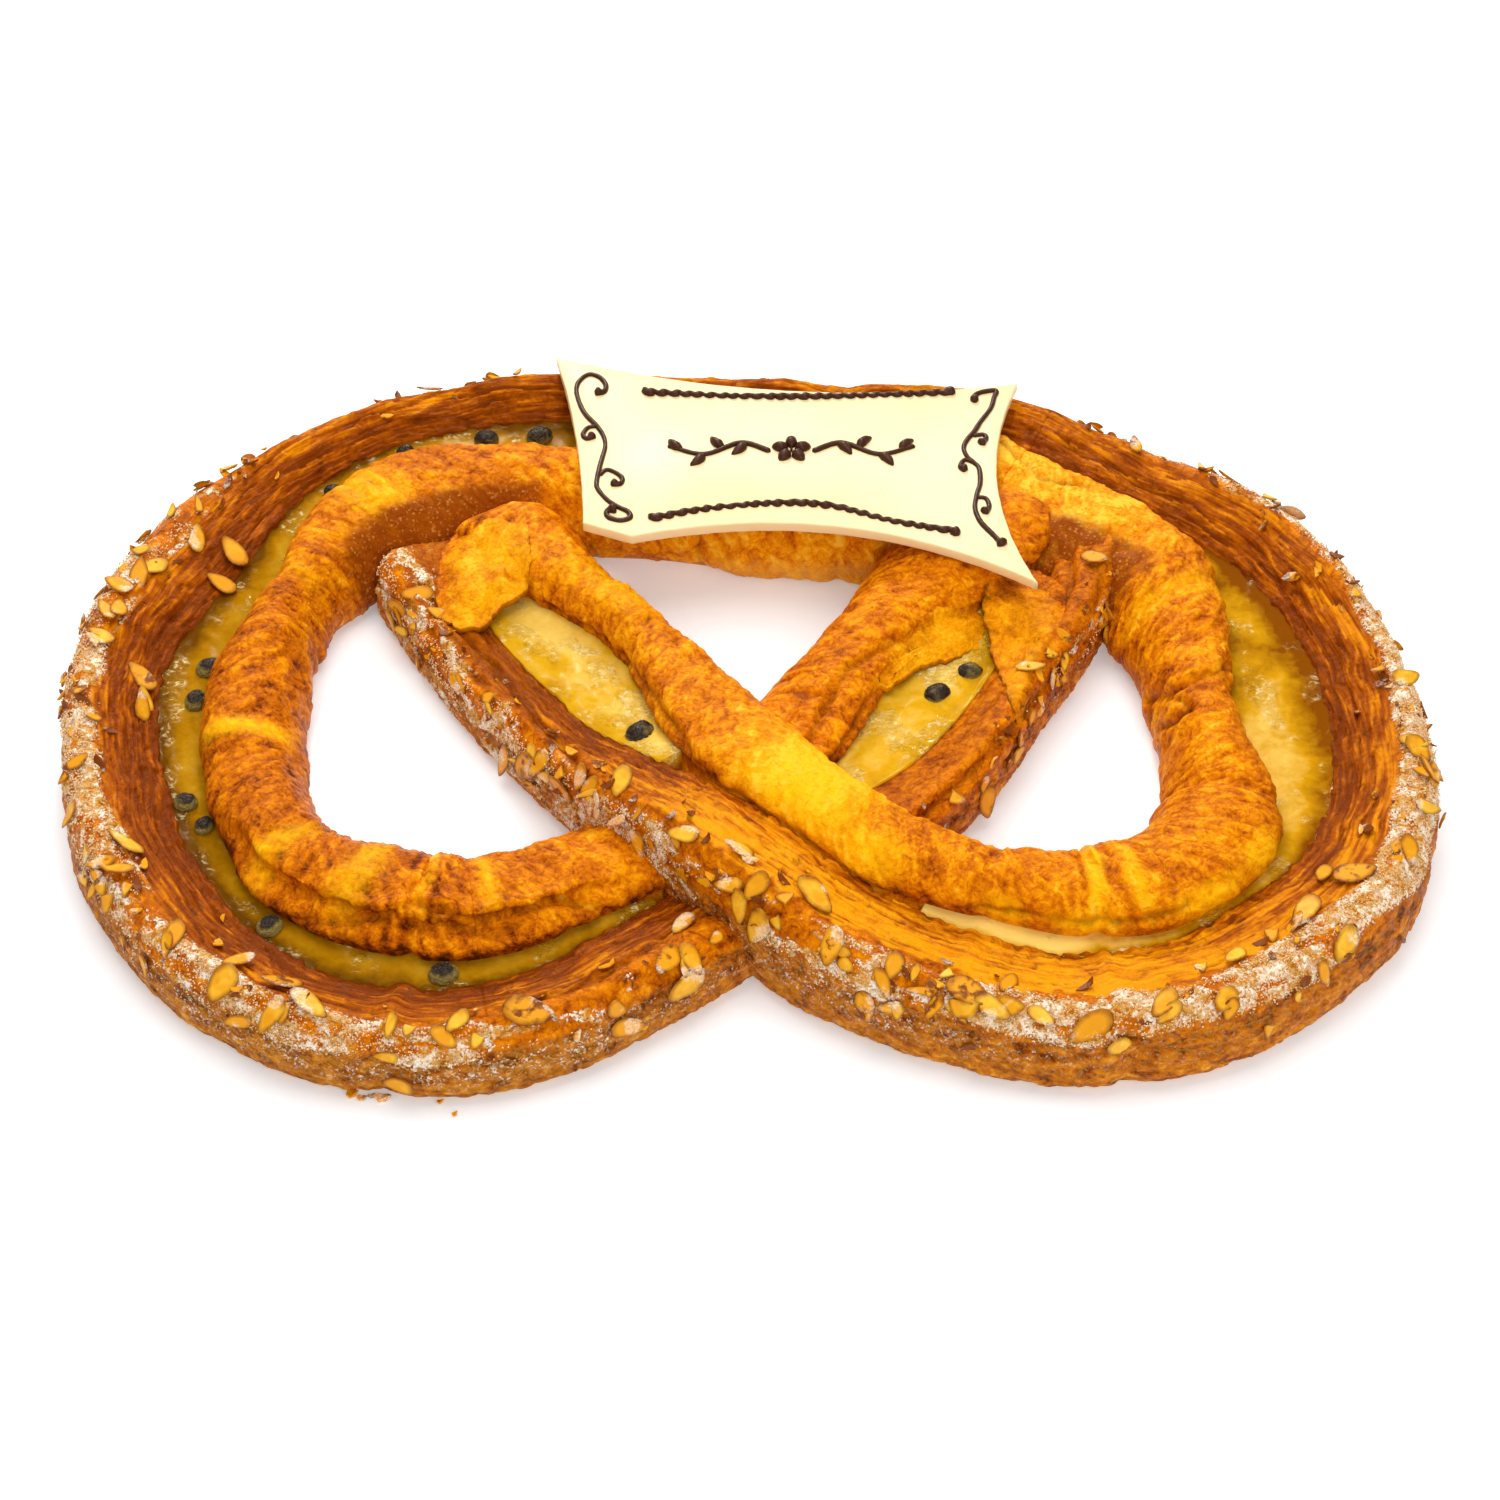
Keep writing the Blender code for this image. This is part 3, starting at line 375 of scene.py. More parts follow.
def smooth_lines(controls: np.ndarray, count: int) -> np.ndarray:
    """Draws many Catmull-Rom curves at once.

    Args:
        controls: Curves by points by 2.
        count: How many evenly spaced points each curve gets.

    Returns:
        Curves by count by 2.
    """
    first = 2 * controls[:, :1] - controls[:, 1:2]
    last = 2 * controls[:, -1:] - controls[:, -2:-1]
    points = np.concatenate([first, controls, last], axis=1)[:, :, None]
    p0, p1, p2, p3 = (points[:, i : points.shape[1] - 3 + i] for i in range(4))
    t = np.linspace(0, 1, 8, endpoint=False)[None, None, :, None]
    square = (2 * p0 - 5 * p1 + 4 * p2 - p3) * t**2
    cube = (3 * p1 - p0 - 3 * p2 + p3) * t**3
    fine = (0.5 * (2 * p1 + (p2 - p0) * t + square + cube)).reshape(len(controls), -1, 2)
    fine = np.concatenate([fine, controls[:, -1:]], axis=1)
    along = np.cumsum(np.linalg.norm(np.diff(fine, axis=1), axis=2), axis=1)
    along = np.concatenate([np.zeros((len(along), 1)), along], axis=1)
    drawn = np.empty((len(controls), count, 2))
    for i, (steps, line) in enumerate(zip(along, fine)):
        even = np.linspace(0, steps[-1], count)
        drawn[i, :, 0] = np.interp(even, steps, line[:, 0])
        drawn[i, :, 1] = np.interp(even, steps, line[:, 1])
    return drawn


@dataclass
class Course:
    """The way the rope of dough runs, and its cross-section all along it."""

    custard_depth: float = 12 * MM
    crease_depth: float = 3 * MM
    open_slot: float = 7 * MM
    shut_slot: float = 1.4 * MM
    base_inset: float = 6 * MM
    end_round: float = 24 * MM
    upper_base: float = 0.4 * MM
    unevenness: float = 1.5 * MM
    tongue_span: tuple[float, float] = (5.2, 8.2)

    def __post_init__(self) -> None:
        """Reads the table of stations and measures the rope's length."""
        self.table = np.array(STATIONS, float) * MM
        self.table[:, 0] -= ORIGIN[0] * MM
        self.table[:, 1] -= ORIGIN[1] * MM
        steps = np.linalg.norm(np.diff(self.table[:, :2], axis=0), axis=1)
        self.knots = np.r_[0, np.cumsum(steps)]
        self.length = float(self.knots[-1])

    def at_station(self, station: np.ndarray) -> np.ndarray:
        """Length along the rope at a station number."""
        return np.interp(station, range(len(self.knots)), self.knots)

    def station_at(self, at: np.ndarray) -> np.ndarray:
        """Station number at a length along the rope."""
        return np.interp(at, self.knots, range(len(self.knots)))

    def read(self, column: int, at: np.ndarray) -> np.ndarray:
        """One column of the table, between the stations too."""
        return spline(self.knots, self.table[:, column], at)

    def middle(self, at: np.ndarray) -> np.ndarray:
        """The rope's middle in plan at each length."""
        return np.column_stack([self.read(0, at), self.read(1, at)])

    def left(self, at: np.ndarray) -> np.ndarray:
        """Unit vectors in plan to the almond side at each length.

        Args:
            at: Lengths along the rope.

        Returns:
            Count by 2.
        """
        along = self.middle(at + MM) - self.middle(at - MM)
        along /= np.linalg.norm(along, axis=1, keepdims=True)
        return np.column_stack([-along[:, 1], along[:, 0]])

    def base(self, at: np.ndarray) -> np.ndarray:
        """Height of the rope's underside: the upper half stands a little higher."""
        return np.where(at > self.at_station(JOIN_STATION), self.upper_base, 0.0)

    def place(self, at: np.ndarray, rows: np.ndarray) -> np.ndarray:
        """Puts cross-sections in space.

        Args:
            at: Length along the rope of each section.
            rows: Sections by points by (distance to the almond side, height).

        Returns:
            Sections by points by 3.
        """
        plan = self.middle(at)[:, None] + self.left(at)[:, None] * rows[:, :, :1]
        height = rows[:, :, 1:] + self.base(at)[:, None, None]
        return np.concatenate([plan, height], axis=2)

    def wander(self, at: np.ndarray, seed: float, size: float) -> np.ndarray:
        """Slow unevenness along the rope, from about -1 to 1."""
        return np.array([2 * noise.noise(Vector((a / size, seed, 0.5))) for a in at])

    def pinch(self, at: np.ndarray) -> np.ndarray:
        """How far the smooth roll is pinched in at each length.

        Args:
            at: Lengths along the rope.

        Returns:
            The depth in metres.
        """
        depth = np.zeros(len(at))
        for station, deep, long in PINCHES:
            away = (at - self.at_station(station)) / (long * MM)
            depth += deep * MM * np.exp(-4 * away * away)
        return depth

    def measures(self, at: np.ndarray) -> dict[str, np.ndarray]:
        """The sizes of the cross-section at each length, by name.

        Args:
            at: Lengths along the rope.

        Returns:
            Lengths in metres, and the shares called tongue and opened.
        """
        width, nut, slot, nut_top, smooth_top, lip = (self.read(c, at) for c in range(2, 8))
        pinch = self.pinch(at)
        slot = np.maximum(slot, self.shut_slot)
        opened = np.clip((slot - self.shut_slot) / (self.open_slot - self.shut_slot), 0, 1)
        return {
            "width": width + self.unevenness * self.wander(at, 3.1, 34 * MM) - pinch,
            "nut": nut,
            "start": nut + slot,
            "nut_top": nut_top + self.unevenness * self.wander(at, 7.7, 26 * MM),
            "smooth_top": smooth_top + self.unevenness * self.wander(at, 1.3, 30 * MM) - 0.5 * pinch,
            "lip": lip,
            "bed": lip - self.crease_depth - (self.custard_depth - self.crease_depth) * opened,
            "tongue": swell(self.station_at(at), *self.tongue_span, 0.6),
            "opened": opened,
        }

    def end_share(self, at: np.ndarray) -> np.ndarray:
        """1 along the rope, falling to almost nothing in a blunt dome at each end."""
        edge = np.clip(np.minimum(at, self.length - at) / self.end_round, 0, 1)
        return np.maximum(0.02, (1 - (1 - edge) ** 3) ** (1 / 3))

    def nut_line(self, m: dict[str, np.ndarray], count: int) -> np.ndarray:
        """The almond roll's outline from the base to the custard, for each section.

        Args:
            m: The measures of the sections.
            count: Points in each outline.

        Returns:
            Sections by count by 2.
        """
        nut, top, lip, inset = m["nut"], m["nut_top"], m["lip"], self.base_inset
        fall = top - lip
        zero = np.zeros(len(nut))
        rows = (
            (zero + inset, zero),
            (zero + 0.2 * inset, 0.13 * top),
            (zero, 0.36 * top),
            (0.02 * nut, 0.62 * top),
            (0.08 * nut, 0.86 * top),
            (0.22 * nut, top),
            (0.4 * nut, top - 0.08 * fall),
            (0.62 * nut, top - 0.38 * fall),
            (0.84 * nut, top - 0.78 * fall),
            (nut, lip),
        )
        return smooth_lines(np.array(rows).transpose(2, 0, 1), count)

    def smooth_line(self, m: dict[str, np.ndarray], count: int) -> np.ndarray:
        """The smooth roll's outline from the custard to the base, for each section.

        Args:
            m: The measures of the sections.
            count: Points in each outline.

        Returns:
            Sections by count by 2.
        """
        start, top, lip, inset = m["start"], m["smooth_top"], m["lip"], self.base_inset
        smooth, rise, tongue = m["width"] - start, top - lip, m["tongue"]
        rows = (
            (start, lip),
            (start - 1.5 * MM, lip + 0.32 * rise),
            (start + (0.03 + 0.13 * tongue) * smooth, lip + (0.68 - 0.1 * tongue) * rise),
            (start + 0.15 * smooth, top - 0.1 * rise),
            (start + 0.32 * smooth, top),
            (start + 0.52 * smooth, 0.985 * top),
            (start + 0.74 * smooth, 0.88 * top),
            (start + 0.91 * smooth, 0.64 * top),
            (m["width"], 0.37 * top),
            (m["width"] - 0.2 * inset, 0.13 * top),
            (m["width"] - inset, 0 * top),
        )
        return smooth_lines(np.array(rows).transpose(2, 0, 1), count)

    def nut_point(self, at: np.ndarray, share: np.ndarray) -> np.ndarray:
        """Points on the almond roll, from their length along the rope and share over the roll.

        Args:
            at: Lengths along the rope.
            share: Share over the roll of each point.

        Returns:
            Count by 3.
        """
        count = 65
        m = self.measures(at)
        line = self.nut_line(m, count)
        spots = np.clip(share, 0, 1) * (count - 1)
        low = np.floor(np.minimum(spots, count - 2)).astype(int)
        part = (spots - low)[:, None]
        each = np.arange(len(at))
        rows = line[each, low] * (1 - part) + line[each, low + 1] * part
        rows[:, 0] = m["width"] / 2 - rows[:, 0]
        rows *= self.end_share(at)[:, None]
        return self.place(at, rows[:, None])[:, 0]

    def nut_points(self, places: np.ndarray, shares: np.ndarray) -> tuple[np.ndarray, np.ndarray]:
        """Points on the almond roll, with the surface's three directions there.

        Args:
            places: Length along the rope of each point.
            shares: Share over the roll of each point, from the base to the custard.

        Returns:
            The points, and for each a 3 by 3 matrix: along the rope, over the roll, and outwards.
        """
        near, beside = 2 * MM, 0.03
        middle = self.nut_point(places, shares)
        along = self.nut_point(places + near, shares) - self.nut_point(places - near, shares)
        over = self.nut_point(places, shares + beside) - self.nut_point(places, shares - beside)
        outwards = np.cross(over, along)
        outwards *= np.where(outwards[:, 2:] < 0, -1, 1)
        axes = np.stack([along, over, outwards], axis=1)
        return middle, axes / np.linalg.norm(axes, axis=2, keepdims=True)


def carry(mesh: bpy.types.Mesh, label: str, kind: str, values: np.ndarray) -> None:
    """Gives every point of the mesh an attribute of this kind.

    Args:
        mesh: The mesh.
        label: Name of the attribute.
        kind: FLOAT, FLOAT_VECTOR or FLOAT_COLOR.
        values: One, three or four values for each point.
    """
    key = {"FLOAT": "value", "FLOAT_VECTOR": "vector", "FLOAT_COLOR": "color"}[kind]
    layer = mesh.attributes.new(label, kind, "POINT")
    layer.data.foreach_set(key, np.asarray(values, np.float32).reshape(-1))


def grid_object(
    name: str, points: np.ndarray, carried: dict[str, np.ndarray] | None = None
) -> bpy.types.Object:
    """A closed tube of quads through rings of points, with a face over each end.

    Args:
        name: Name of the object.
        points: Rings by points by 3.
        carried: Attributes with three or four values for each point, by name.

    Returns:
        The object, linked to the scene, with smooth faces that point outwards.
    """
    rings, size = points.shape[:2]
    index = np.arange(rings * size).reshape(rings, size)
    after = np.roll(index, -1, axis=1)
    quads = np.stack([index[:-1], after[:-1], after[1:], index[1:]], axis=-1).reshape(-1, 4)
    corners = np.r_[quads.ravel(), index[0], index[-1]]
    totals = np.r_[np.full(len(quads), 4), size, size]
    mesh = bpy.data.meshes.new(name)
    mesh.vertices.add(rings * size)
    mesh.vertices.foreach_set("co", points.reshape(-1))
    mesh.loops.add(len(corners))
    mesh.loops.foreach_set("vertex_index", corners)
    mesh.polygons.add(len(totals))
    mesh.polygons.foreach_set("loop_start", np.r_[0, np.cumsum(totals)[:-1]])
    for label, values in (carried or {}).items():
        carry(mesh, label, "FLOAT_COLOR" if values.shape[2] == 4 else "FLOAT_VECTOR", values)
    mesh.update(calc_edges=True)
    mesh.validate()
    shape = bmesh.new()
    shape.from_mesh(mesh)
    bmesh.ops.recalc_face_normals(shape, faces=shape.faces)
    shape.to_mesh(mesh)
    shape.free()
    mesh.shade_smooth()
    return linked(name, mesh)


def linked(name: str, data: bpy.types.ID) -> bpy.types.Object:
    """An object with this mesh, lamp or camera, linked to the scene.

    Args:
        name: Its name.
        data: What it holds.

    Returns:
        The object.
    """
    obj = bpy.data.objects.new(name, data)
    bpy.context.scene.collection.objects.link(obj)
    return obj


def outward(points: np.ndarray) -> np.ndarray:
    """Unit normals over rings of points that run base, almond roll, smooth roll, base.

    Args:
        points: Rings by points by 3.

    Returns:
        The normals, of the same shape.
    """
    down = np.gradient(points, axis=0)
    across = np.roll(points, -1, axis=1) - np.roll(points, 1, axis=1)
    normals = np.cross(across, down)
    length = np.linalg.norm(normals, axis=2, keepdims=True)
    return normals / np.maximum(length, 1e-12)


# What the dough's points carry for its material, by attribute: the masks, and the distances in
# metres along the rope and over its surface. The bake and dark masks also carry painted light and shade.
CARRIED = {
    "crust": ("sugar", "layers", "bake", "stretch"),
    "marks": ("tone", "dark", "pale", "rosy"),
    "lay": ("u", "w", "outer"),
}


class Side(Enum):
    """The parts of the rope's cross-section, in the order in which its points run."""

    NUT = 0
    BED = 1
    SMOOTH = 2
    BASE = 3


def sugar_cover(u: np.ndarray, w: np.ndarray, share: np.ndarray, station: np.ndarray) -> np.ndarray:
    """How thickly sugar lies on the almond roll, from 0 to 1.

    Args:
        u: Distance along the rope in mm.
        w: Distance over the roll in mm.
        share: Share over the roll.
        station: Station number.

    Returns:
        The cover at every point.
    """
    amount = read_along(SUGAR_ALONG, station)
    patch = cloudy(u / 17, w / 10, 21) + 0.35 * grain(u / 5, w / 4, 22)
    half = read_along(SUGAR_BAND, station, 2) * (1 + 0.4 * grain(u / 24, 0.4, 23))
    centre = read_along(SUGAR_BAND, station) + 0.03 * grain(u / 30, 0.9, 24)
    band = ease((half - np.abs(share - centre)) / 0.05 + 0.6)
    return band * ease((1.1 * patch + 1.5 * amount - 0.95) / 0.45)


def distance(u: np.ndarray, v: np.ndarray, knots: np.ndarray) -> np.ndarray:
    """Distance from each point to a line of straight runs through the knots.

    Args:
        u: First coordinate.
        v: Second coordinate.
        knots: Count by 2.

    Returns:
        The distance, of the shape of v.
    """
    away = np.full(v.shape, 1e3)
    for a, b in zip(knots, knots[1:]):
        run = b - a
        t = np.clip(((u - a[0]) * run[0] + (v - a[1]) * run[1]) / (run @ run), 0, 1)
        away = np.minimum(away, np.hypot(u - a[0] - t * run[0], v - a[1] - t * run[1]))
    return away


@dataclass
class DoughRope:
    """The baked dough: two rolls with flaky layers, sugar crust, folds and stretched skin."""

    course: Course
    step: float = 0.95 * MM
    nut_count: int = 92
    bed_count: int = 4
    smooth_count: int = 92
    base_count: int = 6
    layer_pitch_mm: float = 3.4
    end_rings_mm: tuple[float, ...] = (0.03, 0.1, 0.25, 0.5)
    margin: int = 3
    groove_reach_mm: float = 15.0
    seams: tuple[tuple[str, float, float], ...] = (
        ("dough_right_arm", 0.0, 6.05),
        ("dough_left_front", 6.05, 11.3),
        ("dough_back_left", 11.3, JOIN_STATION),
        ("dough_back_right", JOIN_STATION, 23.4),
        ("dough_right_front", 23.4, 27.8),
        ("dough_left_arm", 27.8, LAST_STATION),
    )

    def sections(self, at: np.ndarray) -> tuple[np.ndarray, dict[str, np.ndarray]]:
        """Cross-sections at each length, and the surface's coordinates over them.

        Args:
            at: Lengths along the rope.

        Returns:
            Rings by points by 3, and by name: u and w, the distances in mm along and across the
            surface, and the station, the side and the share over that side.
        """
        m = self.course.measures(at)
        nut = self.course.nut_line(m, self.nut_count)
        smooth = self.course.smooth_line(m, self.smooth_count)
        spread = np.linspace(0, 1, self.bed_count)[None]
        bed_x = m["nut"][:, None] * (1 - spread) + m["start"][:, None] * spread
        bed = np.stack([bed_x, np.broadcast_to(m["bed"][:, None], bed_x.shape)], axis=2)
        spread = np.linspace(0, 1, self.base_count + 2)[None, 1:-1]
        edge = self.course.base_inset
        base_x = (m["width"][:, None] - edge) * (1 - spread) + edge * spread
        base = np.stack([base_x, np.zeros_like(base_x)], axis=2)
        rows = np.concatenate([nut, bed, smooth, base], axis=1)
        steps = np.linalg.norm(np.diff(rows, axis=1), axis=2)
        across = np.concatenate([np.zeros((len(at), 1)), np.cumsum(steps, axis=1)], axis=1)
        rows[:, :, 0] = m["width"][:, None] / 2 - rows[:, :, 0]
        rows *= self.course.end_share(at)[:, None, None]
        counts = (self.nut_count, self.bed_count, self.smooth_count, self.base_count)
        side = np.repeat([s.value for s in Side], counts)
        share = np.concatenate([np.linspace(0, 1, count) for count in counts])
        surface = {
            "u": at[:, None] / MM,
            "w": across / MM,
            "station": self.course.station_at(at)[:, None],
            "side": side[None],
            "share": share[None],
        }
        return self.course.place(at, rows), surface

    def nut_layers(self, s: dict) -> tuple[np.ndarray, dict[str, np.ndarray]]:
        """Relief in mm of the layers on the almond roll's inner slope, and their masks.

        Args:
            s: The surface's coordinates.

        Returns:
            The relief, and masks by name.
        """
        u, w, share = s["u"], s["w"], s["share"]
        here = s["side"] == Side.NUT.value
        edge = 0.58 + 0.05 * grain(u / 13, 0.2, 61) + 0.04 * grain(u / 4, 0.7, 62)
        layers = here * ease((share - edge) / 0.06) * read_along(LAYERS_ALONG, s["station"])
        depth = w[:, self.nut_count - 1 : self.nut_count] - w
        bend = 1.2 * grain(u / 70, depth / 15, 71) + 0.7 * grain(u / 15, depth / 6, 72)
        phase = depth / self.layer_pitch_mm + bend
        ply = np.floor(phase)
        saw = phase - ply
        tone = 0.5 + 0.34 * grain(u / 26, ply * 7.31, 73) + 0.5 * cloudy(u / 15, depth / 2.0, 74)
        tone += 1.1 * (0.78 - share) + read_along(LAYER_TONES, s["station"])
        burnt = ease((cloudy(u / 7, depth / 3.5, 86) - 0.22) / 0.2) * ease((share - 0.74) / 0.1)
        strength = 0.5 + 0.5 * grain(u / 26, ply * 3.7, 75)
        ledge = strength * (saw - 0.4)
        seam = ease((0.3 - saw) / 0.3) * ease(0.3 + 1.4 * grain(u / 20, ply * 5.1, 79))
        ragged = ease((share - 0.9) / 0.1) * grain(u / 4.5, share * 3, 76)
        fibres = 0.3 * grain(u / 9, depth / 1.1, 77) + 0.42 * grain(u / 16, depth / 2.4, 78)
        lumpy = 0.9 * cloudy(u / 9, depth / 6, 87)
        relief = layers * (1.5 * ledge - 0.5 * seam + fibres + lumpy + 1.3 * ragged - 0.5 * burnt)
        # Painted light and shade: the tone is lighter on each ply's raised ledge, and the dark seams between
        # plies are partly their own darker bake and partly painted crevice shade.
        masks = {
            "layers": layers,
            "tone": (tone + 0.25 * ledge) * layers,
            "dark": layers * np.maximum(0.6 * seam, 0.6 * burnt),
        }
        return relief, masks

    def nut_relief(self, s: dict) -> tuple[np.ndarray, dict[str, np.ndarray]]:
        """Relief of the almond roll in mm, and what its skin looks like.

        Args:
            s: The surface's coordinates.

        Returns:
            The relief, and masks by name.
        """
        u, w, share = s["u"], s["w"], s["share"]
        here = s["side"] == Side.NUT.value
        tan = read_along(TAN_ALONG, s["station"])
        outer = here * ease((0.42 - share) / 0.08)
        cells, rim = pebbles(u / 4.2 + 0.25 * grain(u / 3, w / 3, 80), w / 3.4, 81)
        split = ease(1 - rim / 0.16) * ease(cloudy(u / 22, w / 18, 82) + 0.75)
        relief = 1.0 * cloudy(u / 32, w / 24, 1) * here
        relief += outer * (1.1 * cloudy(u / 8, w / 6, 83) + 0.9 * (0.45 - cells) - 0.8 * split)
        dusted = 0.28 * (1.5 * tan - 0.5) * outer * ease(1.1 - np.abs(share - 0.27) / 0.16)
        sugar = np.maximum(here * sugar_cover(u, w, share, s["station"]), dusted)
        rough, _ = pebbles(u / 2.6, w / 2.2, 7)
        lumps, _ = pebbles(u / 7.5, w / 6.0, 9)
        crack = ease(1 - np.abs(grain(u / 11, w / 8, 40)) / 0.09) * ease(cloudy(u / 18, w / 18, 44) + 0.7)
        relief += sugar * (0.6 + 0.35 * (0.6 - rough) + 0.9 * (0.45 - lumps) - 0.9 * crack)
        layered, masks = self.nut_layers(s)
        relief += layered
        grooves, furrow_shade = self.groove_marks(s, Side.NUT)
        relief += grooves
        foot = 0.1 * ease((share - 0.18) / 0.15)
        bake = outer * (0.56 + 0.4 * cloudy(u / 9, w / 7, 84) + 0.5 * (cells - 0.4) + foot)
        bake += here * (1 - outer) * (0.55 + 0.34 * cloudy(u / 9, w / 7, 85))
        singed = 0.5 * sugar * ease((cloudy(u / 9, w / 7, 92) - 0.3) / 0.2)
        masks["sugar"] = sugar
        masks["bake"] = bake
        # The dark mask: the layers' seams and burnt bits and the sugar cracks, which are the dough's own
        # colour, and painted shade in the grooves.
        masks["dark"] = np.maximum(masks["dark"], 0.5 * np.maximum(sugar * crack, furrow_shade)) + singed
        masks["pale"] = outer * (0.8 * split + 0.7 * ease((5 - w) / 3))
        masks["outer"] = outer * tan
        return relief, masks

    def groove_marks(self, s: dict, side: Side) -> tuple[np.ndarray, np.ndarray]:
        """The folds drawn into one of the rolls.

        Args:
            s: The surface's coordinates.
            side: Which roll.

        Returns:
            Their relief in mm, and the painted shade in them.
        """
        smooth = side is Side.SMOOTH
        first = self.nut_count + self.bed_count if smooth else 0
        last = first + (self.smooth_count if smooth else self.nut_count) - 1
        w = s["w"]
        start = w[:, first : first + 1]
        span = w[:, last : last + 1] - start
        relief = np.zeros(w.shape)
        dark = np.zeros(w.shape)
        for depth, line in GROOVES if smooth else NUT_GROOVES:
            stations, shares = np.array(line).T
            along = self.course.at_station(stations) / MM
            away_ends = np.maximum(along.min() - s["u"][:, 0], s["u"][:, 0] - along.max())
            rings = np.flatnonzero(away_ends < self.groove_reach_mm)
            if not len(rings):
                continue
            u = s["u"][rings]
            v = w[rings] - start[rings]
            knots = np.column_stack([along, shares * float(np.mean(span[rings]))])
            away = np.maximum(distance(u, v, knots) + 1.3 * grain(u / 7, v / 7, 90), 0)
            fade = 0.75 + 0.5 * grain(u / 14, v / 14, 91)
            relief[rings] += depth * fade * (0.5 * bell((away - 4.8) / 3.2) - bell(away / 1.9))
            # Painted shade: darkest along the bottom of each groove.
            dark[rings] = np.maximum(dark[rings], fade * bell(away / 1.5))
        here = s["side"] == side.value
        return here * relief, here * dark

    def stretched(self, s: dict) -> tuple[np.ndarray, np.ndarray]:
        """Where the smooth roll's skin is stretched pale, and how far it stands out there.

        Args:
            s: The surface's coordinates.

        Returns:
            The stretch, which is 0 elsewhere, and the relief in mm.
        """
        u, w, share = s["u"], s["w"], s["share"]
        stretch = np.zeros(w.shape)
        raised = np.zeros(w.shape)
        for place, long, middle, half, strength in STRETCHES:
            shift = 2.5 * grain(w / 12, 0.3, 104) + 0.8 * grain(w / 3, 0.6, 108)
            away_u = (u + shift - self.course.at_station(place) / MM) / long
            away_v = (share - middle) / half
            mark = strength * np.exp(-np.abs(away_u) ** 2.5 - away_v**4)
            stretch = np.maximum(stretch, mark)
            if long < 9:
                raised += 0.8 * strength * np.exp(-(away_u**2) - away_v**4)
        stretch *= 0.8 + 0.45 * grain(u / 5, w / 3, 105)
        return stretch, raised

    def reddened(self, s: dict) -> np.ndarray:
        """Where the smooth roll has a rosy bake, from 0 to 1.

        Args:
            s: The surface's coordinates.

        Returns:
            The share at each point.
        """
        u, w, share, station = s["u"], s["w"], s["share"], s["station"]
        rosy = np.zeros(w.shape)
        for start, end, low, high in ROSY_PATCHES:
            ragged = 0.2 * grain(w / 7, u / 7, 109)
            patch = swell(station + ragged, start, end, 0.35) * swell(share, low, high, 0.1)
            rosy = np.maximum(rosy, patch)
        return rosy

    def smooth_relief(self, s: dict) -> tuple[np.ndarray, dict[str, np.ndarray]]:
        """Relief of the smooth roll in mm, and what its skin looks like.

        Args:
            s: The surface's coordinates.

        Returns:
            The relief, and masks by name.
        """
        u, w, share, station = s["u"], s["w"], s["share"], s["station"]
        here = s["side"] == Side.SMOOTH.value
        slant_a, slant_b = 0.55 * u + 0.83 * w, 0.83 * u - 0.55 * w
        bent = 2.5 * grain(u / 16, w / 16, 100)
        wrinkles = cloudy((slant_a + bent) / 12, (slant_b - bent) / 5, 101)
        fine = cloudy((slant_a + bent) / 7.5, (slant_b - bent) / 2.0, 102, 2)
        lumps = cloudy(u / 26, w / 24, 106)
        pucker = np.zeros(w.shape)
        for at_pinch, deep, _ in PINCHES:
            away = (u - self.course.at_station(at_pinch) / MM) / 16
            pucker += 0.2 * deep * bell(away) * grain(u / 3.4, w / 20, 103)
        grooves, dark = self.groove_marks(s, Side.SMOOTH)
        stretch, raised = self.stretched(s)
        lobe = swell(station + 0.03 * grain(w / 9, 0.4, 111), 15.66, 16.22, 0.16)
        crumbly = lobe * ease((share - 0.78) / 0.08) * (0.8 + 0.8 * grain(u / 5, w / 4, 110))
        edge = ease(share / 0.03) * ease((1 - share) / 0.05)
        folds = 0.95 * wrinkles + 0.38 * fine + pucker
        relief = here * edge * (1.9 * lumps + folds - 0.3 + raised)
        relief += here * 5.0 * lobe * ease((share - 0.45) / 0.25) * ease((1 - share) / 0.1)
        relief += grooves * edge
        # Painted light and shade: the skin is lighter on the wrinkles' ridges and darker in their hollows,
        # darker at the lip by the custard, where it is painted shade, and darker towards the base, partly
        # painted shade and partly the deeper bake of the underside. The table adds painted light under the
        # plaque and a painted highlight at the crossing.
        bake = 0.43 + 0.26 * cloudy(u / 22, w / 18, 107) - 0.36 * folds + read_along(SMOOTH_BAKE_AND_PAINTED_LIGHT, station)
        bake += 0.12 * ease((share - 0.66) / 0.3) + 0.3 * ease((0.12 - share) / 0.12)
        masks = {
            "bake": here * np.clip(bake - 0.4 * stretch, 0, 1),
            "stretch": here * np.clip(stretch, 0, 1),
            # Painted shade: the grooves' bottoms are darkened.
            "dark": 0.55 * dark,
            "rosy": here * np.clip(self.reddened(s) * (1 + 0.6 * wrinkles), 0, 1),
            "pale": here * np.maximum(0.7 * ease((share - 0.965) / 0.02), crumbly),
        }
        return relief, masks

    def rings(self, start: float, end: float) -> np.ndarray:
        """Lengths along the rope of the rings from one station to another, and a margin of rings more.

        Args:
            start: First station.
            end: Last station.

        Returns:
            The lengths.
        """
        low, high = self.course.at_station(start), self.course.at_station(end)
        at = np.linspace(low, high, round((high - low) / self.step) + 1)
        dense = np.array(self.end_rings_mm) * MM
        if start == 0:
            at = np.r_[0.0, dense, at[1:]]
        if end == LAST_STATION:
            at = np.r_[at[:-1], high - dense[::-1], high]
        more = np.arange(1, self.margin + 1) * self.step
        return np.clip(np.r_[low - more[::-1], at, high + more], 0, self.course.length)

